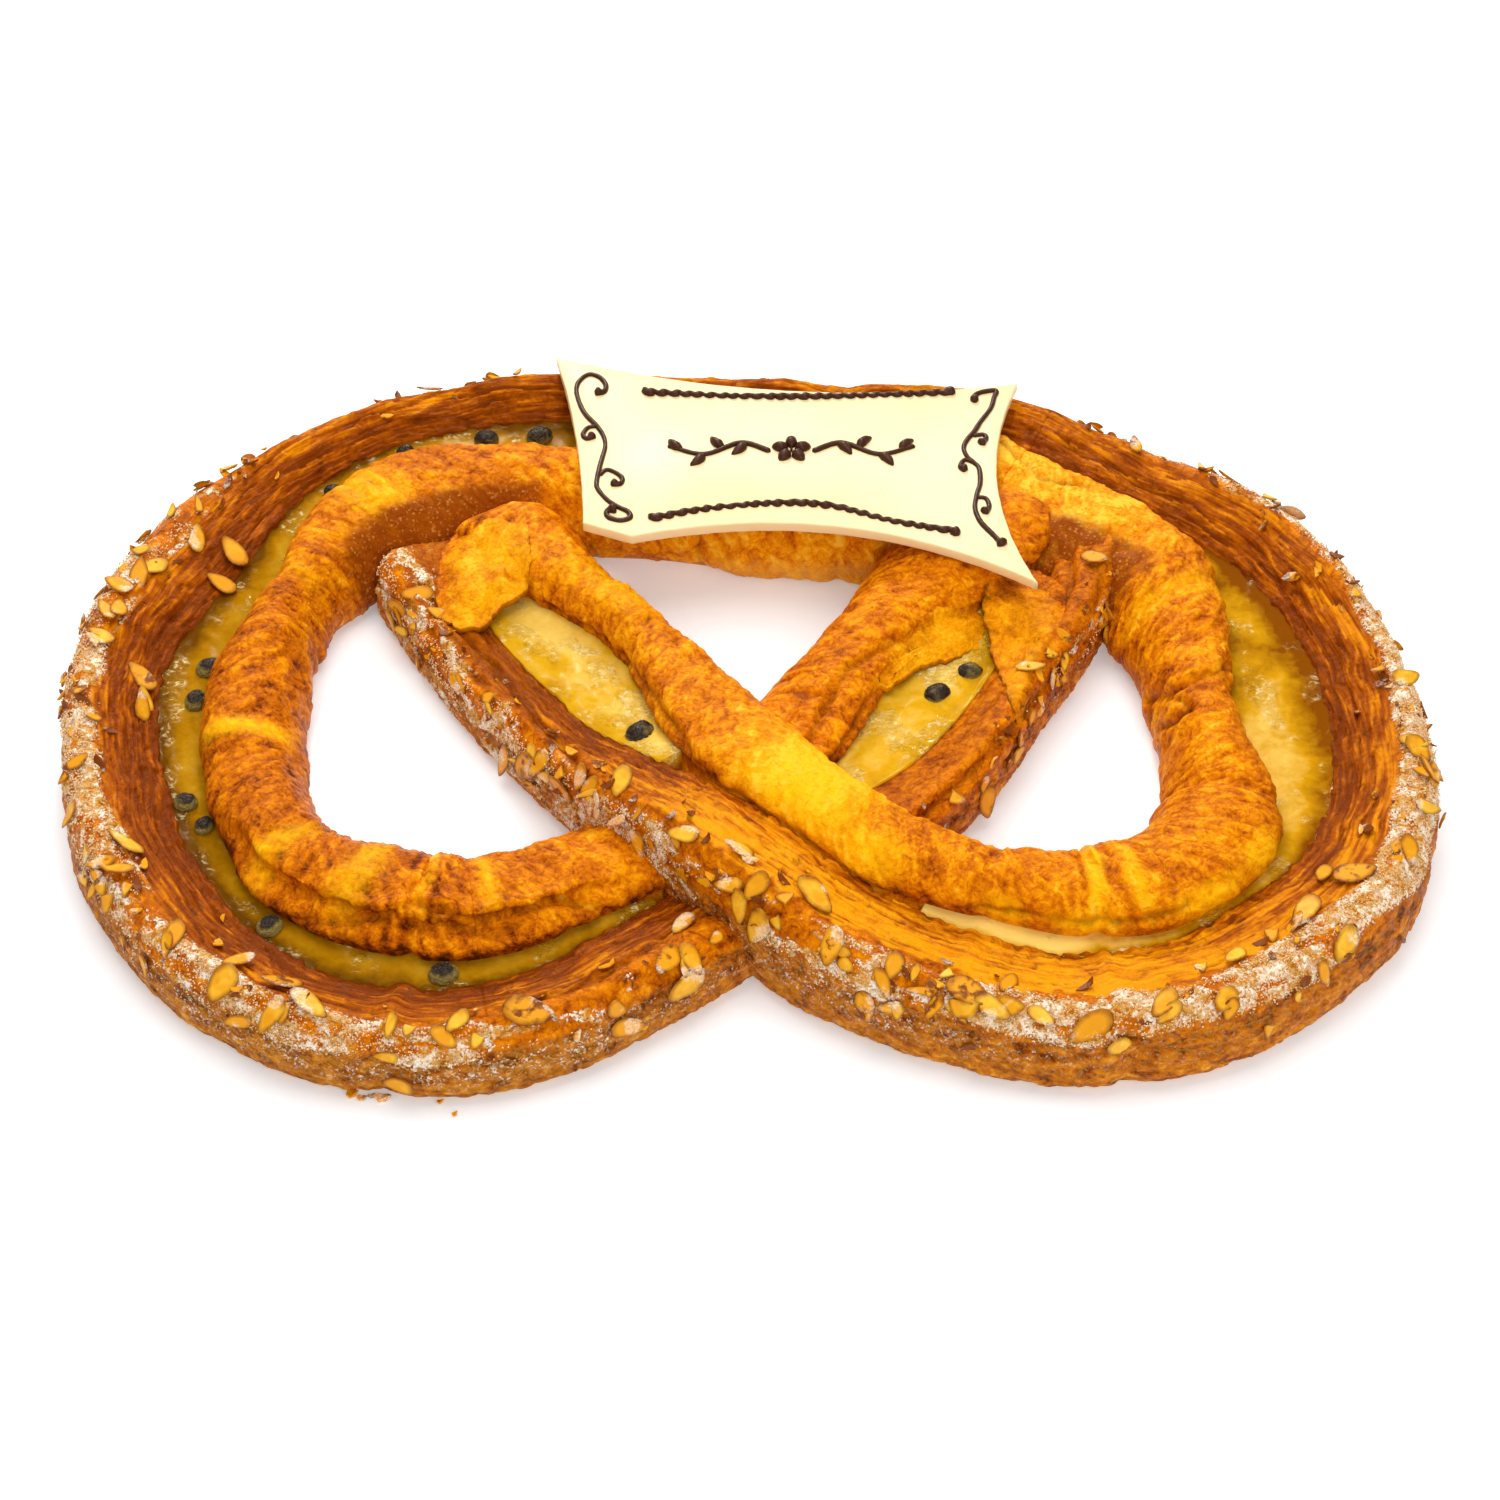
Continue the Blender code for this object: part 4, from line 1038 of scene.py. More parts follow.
    def build_stretch(self, name: str, at: np.ndarray) -> bpy.types.Object:
        """Builds one stretch of the rope.

        Args:
            name: Name of the object.
            at: Lengths along the rope of its rings, and of the margin at each end.

        Returns:
            The object.
        """
        points, s = self.sections(at)
        nut, nut_masks = self.nut_relief(s)
        smooth, smooth_masks = self.smooth_relief(s)
        fade = self.course.end_share(at)[:, None]
        relief = (nut + smooth) * np.where(fade < 0.98, fade * 0.7, 1.0) * MM
        points = points + outward(points) * relief[:, :, None]
        points[:, :, 2] = np.maximum(points[:, :, 2], 0.0)
        masks = {"u": s["u"] * MM, "w": s["w"] * MM}
        for key in (*CARRIED["crust"], *CARRIED["marks"], "outer"):
            masks[key] = nut_masks.get(key, 0) + smooth_masks.get(key, 0)
        shape = points.shape[:2]
        inner = slice(self.margin, -self.margin)
        carried = {
            label: np.stack([np.broadcast_to(masks[key], shape) for key in keys], axis=2)[inner]
            for label, keys in CARRIED.items()
        }
        return grid_object(name, points[inner], carried)

    def build(self, coat: bpy.types.Material) -> list[bpy.types.Object]:
        """Builds the rope as one object for each stretch between the seams.

        Args:
            coat: The look of the dough.

        Returns:
            The objects, which together stand for the pastry.
        """
        made = [self.build_stretch(name, self.rings(start, end)) for name, start, end in self.seams]
        for obj in made:
            obj.data.materials.append(coat)
        return made


class Graph:
    """Builds a node tree with short calls."""

    def __init__(self, tree: bpy.types.NodeTree) -> None:
        """Starts on this tree."""
        self.tree = tree

    def fill(self, node: bpy.types.Node, inputs: dict) -> None:
        """Sets a node's inputs, or links them.

        Args:
            node: The node.
            inputs: What goes into its sockets, by name or number: a value, or a socket to link.
        """
        for key, value in inputs.items():
            socket = node.inputs[key]
            if isinstance(value, bpy.types.NodeSocket):
                self.tree.links.new(value, socket)
            elif socket.type == "RGBA":
                socket.default_value = (*value, 1.0)
            else:
                socket.default_value = value

    def node(self, kind: str, inputs: dict | None = None, **settings: object) -> bpy.types.Node:
        """Adds a node.

        Args:
            kind: Its bl_idname.
            inputs: What goes into its sockets.
            settings: Its properties.

        Returns:
            The node.
        """
        made = self.tree.nodes.new(kind)
        for key, value in settings.items():
            setattr(made, key, value)
        self.fill(made, inputs or {})
        return made

    def value(
        self, operation: str, a: object, b: object = 0.0, c: object = 0.0, clamp: bool = False
    ) -> bpy.types.NodeSocket:
        """The output of a Math node on a, b and c."""
        inputs = {0: a, 1: b, 2: c}
        return self.node("ShaderNodeMath", inputs, operation=operation, use_clamp=clamp).outputs[0]

    def sway(self, base: object, value: object, amount: object, clamp: bool = False) -> bpy.types.NodeSocket:
        """The base, plus the amount for each unit by which the value is above a half."""
        return self.value("MULTIPLY_ADD", self.value("SUBTRACT", value, 0.5), amount, base, clamp)

    def blend(self, factor: object, a: object, b: object) -> bpy.types.NodeSocket:
        """The output of a colour Mix node that goes from a to b."""
        return self.node("ShaderNodeMix", {0: factor, 6: a, 7: b}, data_type="RGBA").outputs[2]

    def ramp(self, factor: object, *stops: tuple[float, Colour]) -> bpy.types.NodeSocket:
        """The output of a Color Ramp through these stops.

        Args:
            factor: Where the ramp is read.
            stops: Places from 0 to 1, with their colours.

        Returns:
            The socket with the colour.
        """
        made = self.node("ShaderNodeValToRGB", {0: factor})
        elements = made.color_ramp.elements
        while len(elements) < len(stops):
            elements.new(0.5)
        for element, (place, colour) in zip(elements, stops):
            element.position = place
            element.color = (*colour, 1.0)
        return made.outputs[0]

    def place(self) -> bpy.types.NodeSocket:
        """The object's own coordinates."""
        return self.node("ShaderNodeTexCoord").outputs["Object"]

    def attribute(self, name: str) -> bpy.types.NodeOutputs:
        """The outputs of an Attribute node."""
        return self.node("ShaderNodeAttribute", attribute_name=name).outputs

    def parts(self, colour: object) -> bpy.types.NodeOutputs:
        """The red, green and blue of a colour."""
        return self.node("ShaderNodeSeparateColor", {0: colour}).outputs

    def mapped(self, vector: object, scale: Point) -> bpy.types.NodeSocket:
        """A vector, scaled."""
        return self.node("ShaderNodeMapping", {"Vector": vector, "Scale": scale}).outputs[0]

    def bump(self, height: object, strength: float, distance: float) -> bpy.types.NodeSocket:
        """The normal over this height."""
        inputs = {"Height": height, "Strength": strength, "Distance": distance}
        return self.node("ShaderNodeBump", inputs).outputs[0]

    def group(self, tree: bpy.types.NodeTree, vector: object, **inputs: float) -> bpy.types.NodeOutputs:
        """The outputs of a shared group at this vector."""
        return self.node("ShaderNodeGroup", {"Vector": vector, **inputs}, node_tree=tree).outputs

    def mottle(
        self, vector: object, size: float, detail: float, swirl: float, contrast: float
    ) -> bpy.types.NodeSocket:
        """The value of the shared mottle group."""
        settings = {"Size": size, "Detail": detail, "Swirl": swirl, "Contrast": contrast}
        return self.group(mottle_group(), vector, **settings)[0]


def start_group(name: str, inputs: dict[str, float], outputs: tuple[str, ...]) -> Graph:
    """Starts a shader group that materials share.

    Args:
        name: Its name.
        inputs: Its inputs beside Vector, which are floats, with their default values.
        outputs: Its outputs, which are floats.

    Returns:
        The graph of the group.
    """
    tree = bpy.data.node_groups.new(name, "ShaderNodeTree")
    face = tree.interface
    face.new_socket("Vector", in_out="INPUT", socket_type="NodeSocketVector")
    for label, start in inputs.items():
        face.new_socket(label, in_out="INPUT", socket_type="NodeSocketFloat").default_value = start
    for label in outputs:
        face.new_socket(label, in_out="OUTPUT", socket_type="NodeSocketFloat")
    return Graph(tree)


@cache
def mottle_group() -> bpy.types.NodeTree:
    """A shader group: uneven browning, as one value from 0 to 1.

    Returns:
        The group.
    """
    inputs = {"Size": 0.004, "Detail": 5.0, "Swirl": 0.8, "Contrast": 1.4}
    g = start_group("Mottle", inputs, ("Value",))
    given = g.node("NodeGroupInput").outputs
    inputs = {
        "Vector": given["Vector"],
        "Scale": g.value("DIVIDE", 1.0, given["Size"]),
        "Detail": given["Detail"],
        "Distortion": given["Swirl"],
    }
    cloud = g.node("ShaderNodeTexNoise", inputs).outputs[0]
    g.node("NodeGroupOutput", {"Value": g.sway(0.5, cloud, given["Contrast"], clamp=True)})
    return g.tree


@cache
def vein_group() -> bpy.types.NodeTree:
    """A shader group: a fine branching network, as one value.

    Returns:
        The group.
    """
    g = start_group("Veins", {"Size": 0.006}, ("Value",))
    given = g.node("NodeGroupInput").outputs
    scale = g.value("DIVIDE", 1.0, given["Size"])
    inputs = {"Vector": given["Vector"], "Scale": scale, "Detail": 3.0, "Distortion": 0.7}
    cloud = g.node("ShaderNodeTexNoise", inputs).outputs[0]
    away = g.value("ABSOLUTE", g.value("SUBTRACT", cloud, 0.5))
    line = g.value("SUBTRACT", 1.0, g.value("MULTIPLY", away, 16.0), clamp=True)
    g.node("NodeGroupOutput", {"Value": line})
    return g.tree


@cache
def speckle_group() -> bpy.types.NodeTree:
    """A shader group: small grains, as a value and a height.

    Returns:
        The group.
    """
    g = start_group("Speckle", {"Size": 0.001}, ("Value", "Height"))
    given = g.node("NodeGroupInput").outputs
    scale = g.value("DIVIDE", 1.0, given["Size"])
    grains = g.node("ShaderNodeTexVoronoi", {"Vector": given["Vector"], "Scale": scale})
    height = g.value("SUBTRACT", 1.0, grains.outputs["Distance"], clamp=True)
    g.node("NodeGroupOutput", {"Value": g.parts(grains.outputs["Color"])[0], "Height": height})
    return g.tree


def new_material(name: str) -> tuple[bpy.types.Material, Graph, bpy.types.Node]:
    """A material with its graph and its Principled node.

    Args:
        name: Its name.

    Returns:
        The material, the graph and the node.
    """
    made = bpy.data.materials.new(name)
    made.use_nodes = True
    graph = Graph(made.node_tree)
    return made, graph, made.node_tree.nodes["Principled BSDF"]


@dataclass(frozen=True)
class Sheet:
    """A sheet of dough folded over the split.

    Attributes:
        name: Name of the object.
        lies_on: Name of the piece of dough under it.
        edge: Corners round the sheet: x and y in mm, and how free its edge is there, from 0 to 1.
        level_mm: Height of its middle where it spans the split.
        slope: Rise of that span along x and y.
        droop_mm: How far its free edge hangs below that span.
        thickness_mm: Its thickness.
        bake: How brown it is.
        stretch: How yellow it is.
    """

    name: str
    lies_on: str
    edge: tuple[tuple[float, float, float], ...]
    level_mm: float
    slope: tuple[float, float]
    droop_mm: float
    thickness_mm: float
    bake: float
    stretch: float


SHEETS = (
    Sheet(
        name="dough_left_flap",
        lies_on="dough_left_arm",
        edge=(
            ((-106, 132, 0), (-95, 115, 0.7), (-93, 99, 1), (-93, 84, 1), (-105, 72, 1))
            + ((-112, 61, 1), (-127, 63, 0.8), (-133, 78, 0), (-134, 100, 0), (-127, 122, 0))
        ),
        level_mm=35.5,
        slope=(0.16, -0.02),
        droop_mm=6.5,
        thickness_mm=1.8,
        bake=0.3,
        stretch=0.4,
    ),
    Sheet(
        name="dough_right_sheet",
        lies_on="dough_right_arm",
        edge=(
            ((108, 80, 0), (88, 82, 0), (68, 64, 0), (53, 44, 0))
            + ((46, 22, 0.2), (60, 33, 1), (78, 47, 1), (97, 58, 1))
        ),
        level_mm=27.5,
        slope=(-0.2, 0.14),
        droop_mm=2.0,
        thickness_mm=1.4,
        bake=0.3,
        stretch=0.5,
    ),
    Sheet(
        name="dough_right_flap",
        lies_on="dough_right_arm",
        edge=(
            ((99, 82, 0.6), (110, 96, 0), (130, 90, 0), (138, 64, 0), (130, 44, 0))
            + ((119, 22, 0.3), (108, 6, 1), (104, 28, 1), (100, 56, 1))
        ),
        level_mm=30.0,
        slope=(0.02, 0.14),
        droop_mm=2.0,
        thickness_mm=1.8,
        bake=0.42,
        stretch=0.3,
    ),
)


@dataclass
class Folds:
    """The sheets of dough over the ends of the split, which drape over the rolls.

    Attributes:
        count: Points round a sheet.
        rings: Rings of points, from the middle of its lower face to that of its upper face.
        roundness: Power that draws the rings towards the edge.
        hole: Size of the first and last ring, as a share of the sheet.
        soft_mm: How softly the sheet meets the roll under it.
        miss_mm: Height that stands for no dough under a point.
    """

    count: int = 140
    rings: int = 44
    roundness: float = 0.45
    hole: float = 0.02
    soft_mm: float = 1.6
    miss_mm: float = -50.0

    def outline(self, edge: tuple[tuple[float, float, float], ...]) -> np.ndarray:
        """A closed smooth curve through the corners: count by 3.

        Args:
            edge: The corners, as in Sheet.

        Returns:
            Points with x and y in mm, and how free the edge is.
        """
        corners = np.array(edge, float)
        closed = np.vstack([corners[-2:], corners, corners[:2]])
        knots = np.arange(len(closed))
        at = np.linspace(2, len(corners) + 2, self.count, endpoint=False)
        return np.column_stack([spline(knots, column, at) for column in closed.T])

    def ground(self, name: str, plan: np.ndarray) -> np.ndarray:
        """Height in mm of a piece of dough under each point of the plan, which is in mm.

        Args:
            name: Name of the piece.
            plan: Rings by points by 2.

        Returns:
            Rings by points.
        """
        tree = BVHTree.FromObject(bpy.data.objects[name], bpy.context.evaluated_depsgraph_get())
        heights = []
        for x, y in plan.reshape(-1, 2):
            hit = tree.ray_cast(Vector((x * MM, y * MM, 0.1)), Vector((0, 0, -1)))[0]
            heights.append(hit.z / MM if hit else self.miss_mm)
        return np.array(heights).reshape(plan.shape[:2])

    def build_sheet(self, sheet: Sheet, coat: bpy.types.Material) -> bpy.types.Object:
        """Builds one sheet, which lies on the rolls and spans the split between them.

        Args:
            sheet: Its sizes.
            coat: Its material.

        Returns:
            The object.
        """
        edge = self.outline(sheet.edge)
        edge[:, :2] -= ORIGIN
        centre = edge[:, :2].mean(axis=0)
        free = np.clip(edge[None, :, 2], 0, 1)
        turn = np.linspace(-1, 1, self.rings)[:, None]
        share = np.cos(turn * math.pi / 2) ** self.roundness * (1 - self.hole)
        share[[0, -1]] = self.hole
        plan = centre[None, None] + (edge[None, :, :2] - centre[None, None]) * share[:, :, None]
        x, y = plan[:, :, 0], plan[:, :, 1]
        seed = len(sheet.name) * 10
        wave = np.stack([cloudy(x / 9, y / 9, seed), cloudy(x / 9, y / 9, seed + 1)], axis=2)
        ragged = np.stack([grain(x / 3.5, y / 3.5, seed + 6), grain(x / 3.5, y / 3.5, seed + 7)], axis=2)
        plan += 2.0 * wave + 0.8 * ragged
        span = sheet.level_mm + (plan - centre) @ np.array(sheet.slope)
        span -= sheet.droop_mm * free * ease((share - 0.35) / 0.65)
        under = self.ground(sheet.lies_on, plan)
        over = span + self.soft_mm * np.logaddexp(0, (under - span) / self.soft_mm)
        rise = 0.9 * cloudy(x / 13, y / 13, seed + 2) + 0.8 * cloudy((x + y) / 5, (x - y) / 18, seed + 3)
        sunk = 2.3 * (1 - free) * ease((share - 0.4) / 0.6)
        upper = over + sheet.thickness_mm * (1 - sunk) + rise * (1 - share**6)
        lift = ease((turn + 0.08) / 0.16)
        height = upper - (1 - lift) * (sheet.thickness_mm + 1.2)
        blended = (1 - free) * ease((share - 0.3) / 0.6)
        rim = free * ease((share - 0.88) / 0.1)
        # Painted light and shade: the sheet is lighter on its bumps and darker in its dips.
        bake = sheet.bake + 0.2 * blended + 0.4 * cloudy(x / 9, y / 9, seed + 4) - 0.3 * rise
        bake = np.clip(np.clip(bake, 0, 1) + 0.3 * rim, 0, 1)
        taut = sheet.stretch * (0.7 + 0.8 * cloudy(x / 16, y / 16, seed + 5)) * (1 - blended)
        zero = np.zeros(height.shape)
        carried = {
            "crust": np.dstack([zero, zero, bake, np.clip(taut, 0, 1)]),
            # Painted shade: the lower face is darkened by the free edge.
            "marks": np.dstack([zero, 0.6 * rim * (1 - lift), zero, zero]),
            "lay": np.dstack([x * MM, y * MM, zero]),
        }
        obj = grid_object(sheet.name, np.dstack([plan, height]) * MM, carried)
        obj.data.materials.append(coat)
        return obj


@dataclass(frozen=True)
class DoughFinish:
    """Baked dough: egg-washed gold to brown skin, flaky layers, sugar crust."""

    pale: Colour = (0.95, 0.52, 0.035)
    gold: Colour = (0.86, 0.32, 0.002)
    amber: Colour = (0.63, 0.16, 0.001)
    brown: Colour = (0.33, 0.06, 0.001)
    dark: Colour = (0.1, 0.016, 0.001)
    yellow: Colour = (0.98, 0.5, 0.003)
    layer_gold: Colour = (0.7, 0.22, 0.002)
    layer_amber: Colour = (0.38, 0.076, 0.001)
    layer_brown: Colour = (0.19, 0.03, 0.001)
    side_light: Colour = (0.76, 0.36, 0.05)
    side_tan: Colour = (0.5, 0.16, 0.008)
    side_brown: Colour = (0.26, 0.06, 0.003)
    sugar: Colour = (0.66, 0.3, 0.05)
    sugar_white: Colour = (0.97, 0.84, 0.67)
    sugar_grey: Colour = (0.7, 0.42, 0.17)
    sugar_brown: Colour = (0.42, 0.14, 0.012)
    rosy: Colour = (0.27, 0.05, 0.002)

    def material(self) -> bpy.types.Material:
        """The material, which reads the masks that the dough carries.

        Returns:
            The material.
        """
        made, g, shader = new_material("Baked dough")
        place = g.place()
        crust, marks, lay = g.attribute("crust"), g.attribute("marks"), g.attribute("lay")["Vector"]
        outer = g.node("ShaderNodeSeparateXYZ", {0: lay}).outputs[2]
        sugar, layers, bake = g.parts(crust["Color"])
        tone, dark, pale = g.parts(marks["Color"])
        mottle = g.mottle(place, 0.0065, 7.0, 1.6, 2.0)
        fleck = g.mottle(place, 0.0015, 4.0, 0.8, 2.2)
        veins = g.group(vein_group(), place, Size=0.007)[0]
        # The bake mask sets how brown the skin is; on the smooth roll and the sheets it also carries painted
        # light and shade.
        level = g.value("MULTIPLY_ADD", veins, 0.16, g.sway(bake, mottle, 0.42))
        level = g.sway(level, fleck, 0.26, clamp=True)
        skin = ((0, self.pale), (0.22, self.gold), (0.5, self.amber), (0.8, self.brown), (1, self.dark))
        rind = ((0.15, self.side_light), (0.45, self.side_tan), (0.8, self.side_brown), (1, self.dark))
        colour = g.blend(outer, g.ramp(level, *skin), g.ramp(level, *rind))
        thread = {"Vector": g.mapped(lay, (45, 1000, 0)), "Scale": 1.0, "Detail": 4.0}
        fibre = g.node("ShaderNodeTexNoise", thread).outputs[0]
        ply = g.sway(g.sway(tone, fibre, 0.6), mottle, 0.3, clamp=True)
        plies = ((0.12, self.layer_brown), (0.42, self.layer_amber), (0.72, self.layer_gold))
        colour = g.blend(layers, colour, g.ramp(ply, *plies, (0.95, self.gold)))
        bright = g.value("MULTIPLY", crust["Alpha"], g.value("MULTIPLY_ADD", fleck, -0.5, 1.2), clamp=True)
        colour = g.blend(bright, colour, self.yellow)
        grain_tint, grain_height = g.group(speckle_group(), place, Size=0.0009)
        dusting = g.value("MULTIPLY_ADD", grain_tint, 3.0, -2.5, clamp=True)
        colour = g.blend(marks["Alpha"], colour, g.blend(dusting, self.rosy, self.sugar))
        # The dark mask holds the dough's own dark seams, burnt bits and sugar cracks, and painted shade in
        # the grooves, between the plies and under the sheets' free edges.
        colour = g.blend(dark, colour, self.dark)
        colour = g.blend(g.value("MULTIPLY", pale, 0.6), colour, self.side_light)
        speck = g.sway(g.mottle(place, 0.006, 5.0, 0.8, 2.6), grain_tint, 0.3)
        crystals = ((0, self.sugar_brown), (0.25, self.sugar), (0.5, self.sugar_grey))
        cover = g.sway(g.sway(sugar, grain_tint, 1.0), fleck, 0.6)
        cover = g.value("MULTIPLY", g.value("SUBTRACT", cover, 0.35), 1.9, clamp=True)
        cover = g.value("MULTIPLY", cover, g.value("MULTIPLY", sugar, 5.0, clamp=True))
        height = g.value("MULTIPLY_ADD", fleck, 0.4, g.value("MULTIPLY_ADD", fibre, layers, mottle))
        height = g.value("MULTIPLY_ADD", g.value("MULTIPLY", grain_height, cover), 1.5, height)
        sockets = {
            "Base Color": g.blend(cover, colour, g.ramp(speck, *crystals, (0.8, self.sugar_white))),
            "Roughness": g.value("MULTIPLY_ADD", cover, 0.35, 0.42),
            "Normal": g.bump(height, 0.7, 0.0008),
            "Specular IOR Level": 0.1,
            "Specular Tint": (1.0, 0.6, 0.1),
        }
        g.fill(shader, sockets)
        return made


@dataclass(frozen=True)
class CustardFinish:
    """Set custard with a wet skin."""

    name: str
    # deep is the custard's darkest colour, where the painted shade by the walls lies, partly its own deeper
    # amber.
    deep: Colour
    middle: Colour
    cream: Colour
    painted_glint: Colour = (0.98, 0.86, 0.5)

    def material(self) -> bpy.types.Material:
        """The material for one stretch. It reflects mostly where the custard ripples, and there thin lines
        of painted highlight are drawn into its colour as glints.

        Returns:
            The material.
        """
        made, g, shader = new_material(self.name)
        place = g.place()
        wall, ripple, _ = g.node("ShaderNodeSeparateXYZ", {0: g.attribute("lie")["Vector"]}).outputs
        fleck = g.mottle(place, 0.0035, 4.0, 0.6, 1.6)
        level = g.sway(g.sway(0.6, fleck, 0.25), g.mottle(place, 0.026, 4.0, 0.8, 2.4), 0.45)
        level = g.value("MULTIPLY_ADD", ripple, 0.1, level)
        # Painted shade: the first value of lie darkens the custard by the walls and along the table, partly
        # its own deeper amber.
        level = g.value("MULTIPLY_ADD", wall, -0.6, level, clamp=True)
        colour = g.ramp(level, (0.0, self.deep), (0.45, self.middle), (1.0, self.cream))
        # Painted highlight: thin pale wavy lines where the custard ripples, drawn into the colour as glints,
        # standing partly for flecks of pale skin.
        flat = g.mapped(place, (0.55, 1.0, 1.0))
        thread = g.group(vein_group(), flat, Size=0.0042)[0]
        broken = g.value("MULTIPLY", g.value("SUBTRACT", fleck, 0.45), 4.0, clamp=True)
        painted_glint_lines = g.value("MULTIPLY", g.value("MULTIPLY", thread, broken), g.value("MULTIPLY", ripple, 0.75))
        skin = g.mottle(flat, 0.0017, 2.0, 1.6, 2.0)
        height = g.value("MULTIPLY", skin, g.value("MULTIPLY_ADD", ripple, 1.0, 0.08))
        sockets = {
            "Base Color": g.blend(painted_glint_lines, colour, self.painted_glint),
            "Normal": g.bump(height, 1.0, 0.0008),
            "Roughness": 0.09,
            "Specular IOR Level": g.value("MULTIPLY_ADD", ripple, 0.14, 0.02),
            "Specular Tint": (1.0, 0.75, 0.3),
            "Subsurface Weight": 0.2,
            "Subsurface Radius": (0.006, 0.0035, 0.0006),
            "Subsurface Scale": 0.6,
        }
        g.fill(shader, sockets)
        return made


@dataclass(frozen=True)
class RaisinFinish:
    """Dark wrinkled raisin skin, in places filmed with custard."""

    skin: Colour = (0.01, 0.008, 0.009)
    ridge: Colour = (0.04, 0.026, 0.022)
    film: Colour = (0.26, 0.19, 0.05)

    def material(self) -> bpy.types.Material:
        """The material of every raisin.

        Returns:
            The material.
        """
        made, g, shader = new_material("Raisin")
        place = g.place()
        cloud = g.mottle(place, 0.009, 3.0, 0.5, 2.6)
        fleck = g.mottle(place, 0.0018, 3.0, 0.6, 2.0)
        cover = g.value("MULTIPLY", g.value("SUBTRACT", cloud, 0.62), 1.6, clamp=True)
        low = g.value("MULTIPLY", g.attribute("film")["Fac"], g.value("ADD", fleck, 0.6))
        cover = g.value("ADD", cover, low, clamp=True)
        sockets = {
            "Base Color": g.blend(cover, g.blend(fleck, self.skin, self.ridge), self.film),
            "Normal": g.bump(fleck, 0.5, 0.0006),
            "Roughness": 0.25,
            "Specular IOR Level": 0.2,
            "Specular Tint": (1.0, 0.8, 0.5),
        }
        g.fill(shader, sockets)
        return made


@dataclass(frozen=True)
class AlmondFinish:
    """Toasted almond slices: amber with a browned skin round the rim."""

    light: Colour = (0.92, 0.52, 0.035)
    toast: Colour = (0.8, 0.33, 0.004)
    rim: Colour = (0.2, 0.045, 0.002)
    dust: Colour = (0.95, 0.86, 0.72)

    def material(self) -> bpy.types.Material:
        """The material, which reads each slice's own tint and rim.

        Returns:
            The material.
        """
        made, g, shader = new_material("Toasted almond")
        place = g.place()
        cloud = g.mottle(place, 0.005, 4.0, 0.4, 1.6)
        level = g.sway(g.attribute("tint")["Fac"], cloud, 0.8, clamp=True)
        colour = g.ramp(level, (0.0, self.light), (0.5, self.toast), (0.85, self.toast), (1.0, self.rim))
        browned = g.value("MULTIPLY_ADD", cloud, 0.9, 0.35)
        edge = g.value("MULTIPLY", g.attribute("rim")["Fac"], browned, clamp=True)
        heap = g.value("MULTIPLY_ADD", g.mottle(place, 0.016, 2.0, 0.2, 4.0), 1.8, -1.72)
        grains = g.group(speckle_group(), place, Size=0.0008)[0]
        dusted = g.value("MULTIPLY_ADD", grains, 0.5, heap, clamp=True)
        sockets = {
            "Base Color": g.blend(dusted, g.blend(edge, colour, self.rim), self.dust),
            "Roughness": 0.45,
            "Specular IOR Level": 0.15,
            "Subsurface Weight": 0.12,
            "Subsurface Radius": (0.003, 0.0015, 0.0005),
            "Subsurface Scale": 0.5,
        }
        g.fill(shader, sockets)
        return made


@dataclass(frozen=True)
class PlainFinish:
    """One colour with slight unevenness, such as chocolate, sugar or the table.

    Attributes:
        name: Name of the material.
        colour: Its colour.
        shade: The colour that it varies to.
        roughness: Its roughness.
        size: Width of its clouds.
        bump: Strength of its relief.
        glow: How much light passes under its skin.
        light: How much cool light it gives off.
        shine: How strongly it reflects.
    """

    name: str
    colour: Colour
    shade: Colour
    roughness: float
    size: float = 0.02
    bump: float = 0.1
    glow: float = 0.0
    light: float = 0.0
    shine: float = 0.5

    def material(self) -> bpy.types.Material:
        """The material.

        Returns:
            The material.
        """
        made, g, shader = new_material(self.name)
        cloud = g.mottle(g.place(), self.size, 3.0, 0.3, 1.6)
        sockets = {
            "Base Color": g.blend(cloud, self.colour, self.shade),
            "Normal": g.bump(cloud, self.bump, 0.0004),
            "Roughness": self.roughness,
            "Specular IOR Level": self.shine,
            "Emission Color": (0.8, 0.95, 1.0),
            "Emission Strength": self.light,
            "Subsurface Weight": self.glow,
            "Subsurface Radius": (0.003, 0.002, 0.001),
            "Subsurface Scale": 0.6,
        }
        g.fill(shader, sockets)
        return made


class Spot(Enum):
    """Where a stretch of custard lies, which sets its relief."""

    RING = "ring"
    ARM = "arm"


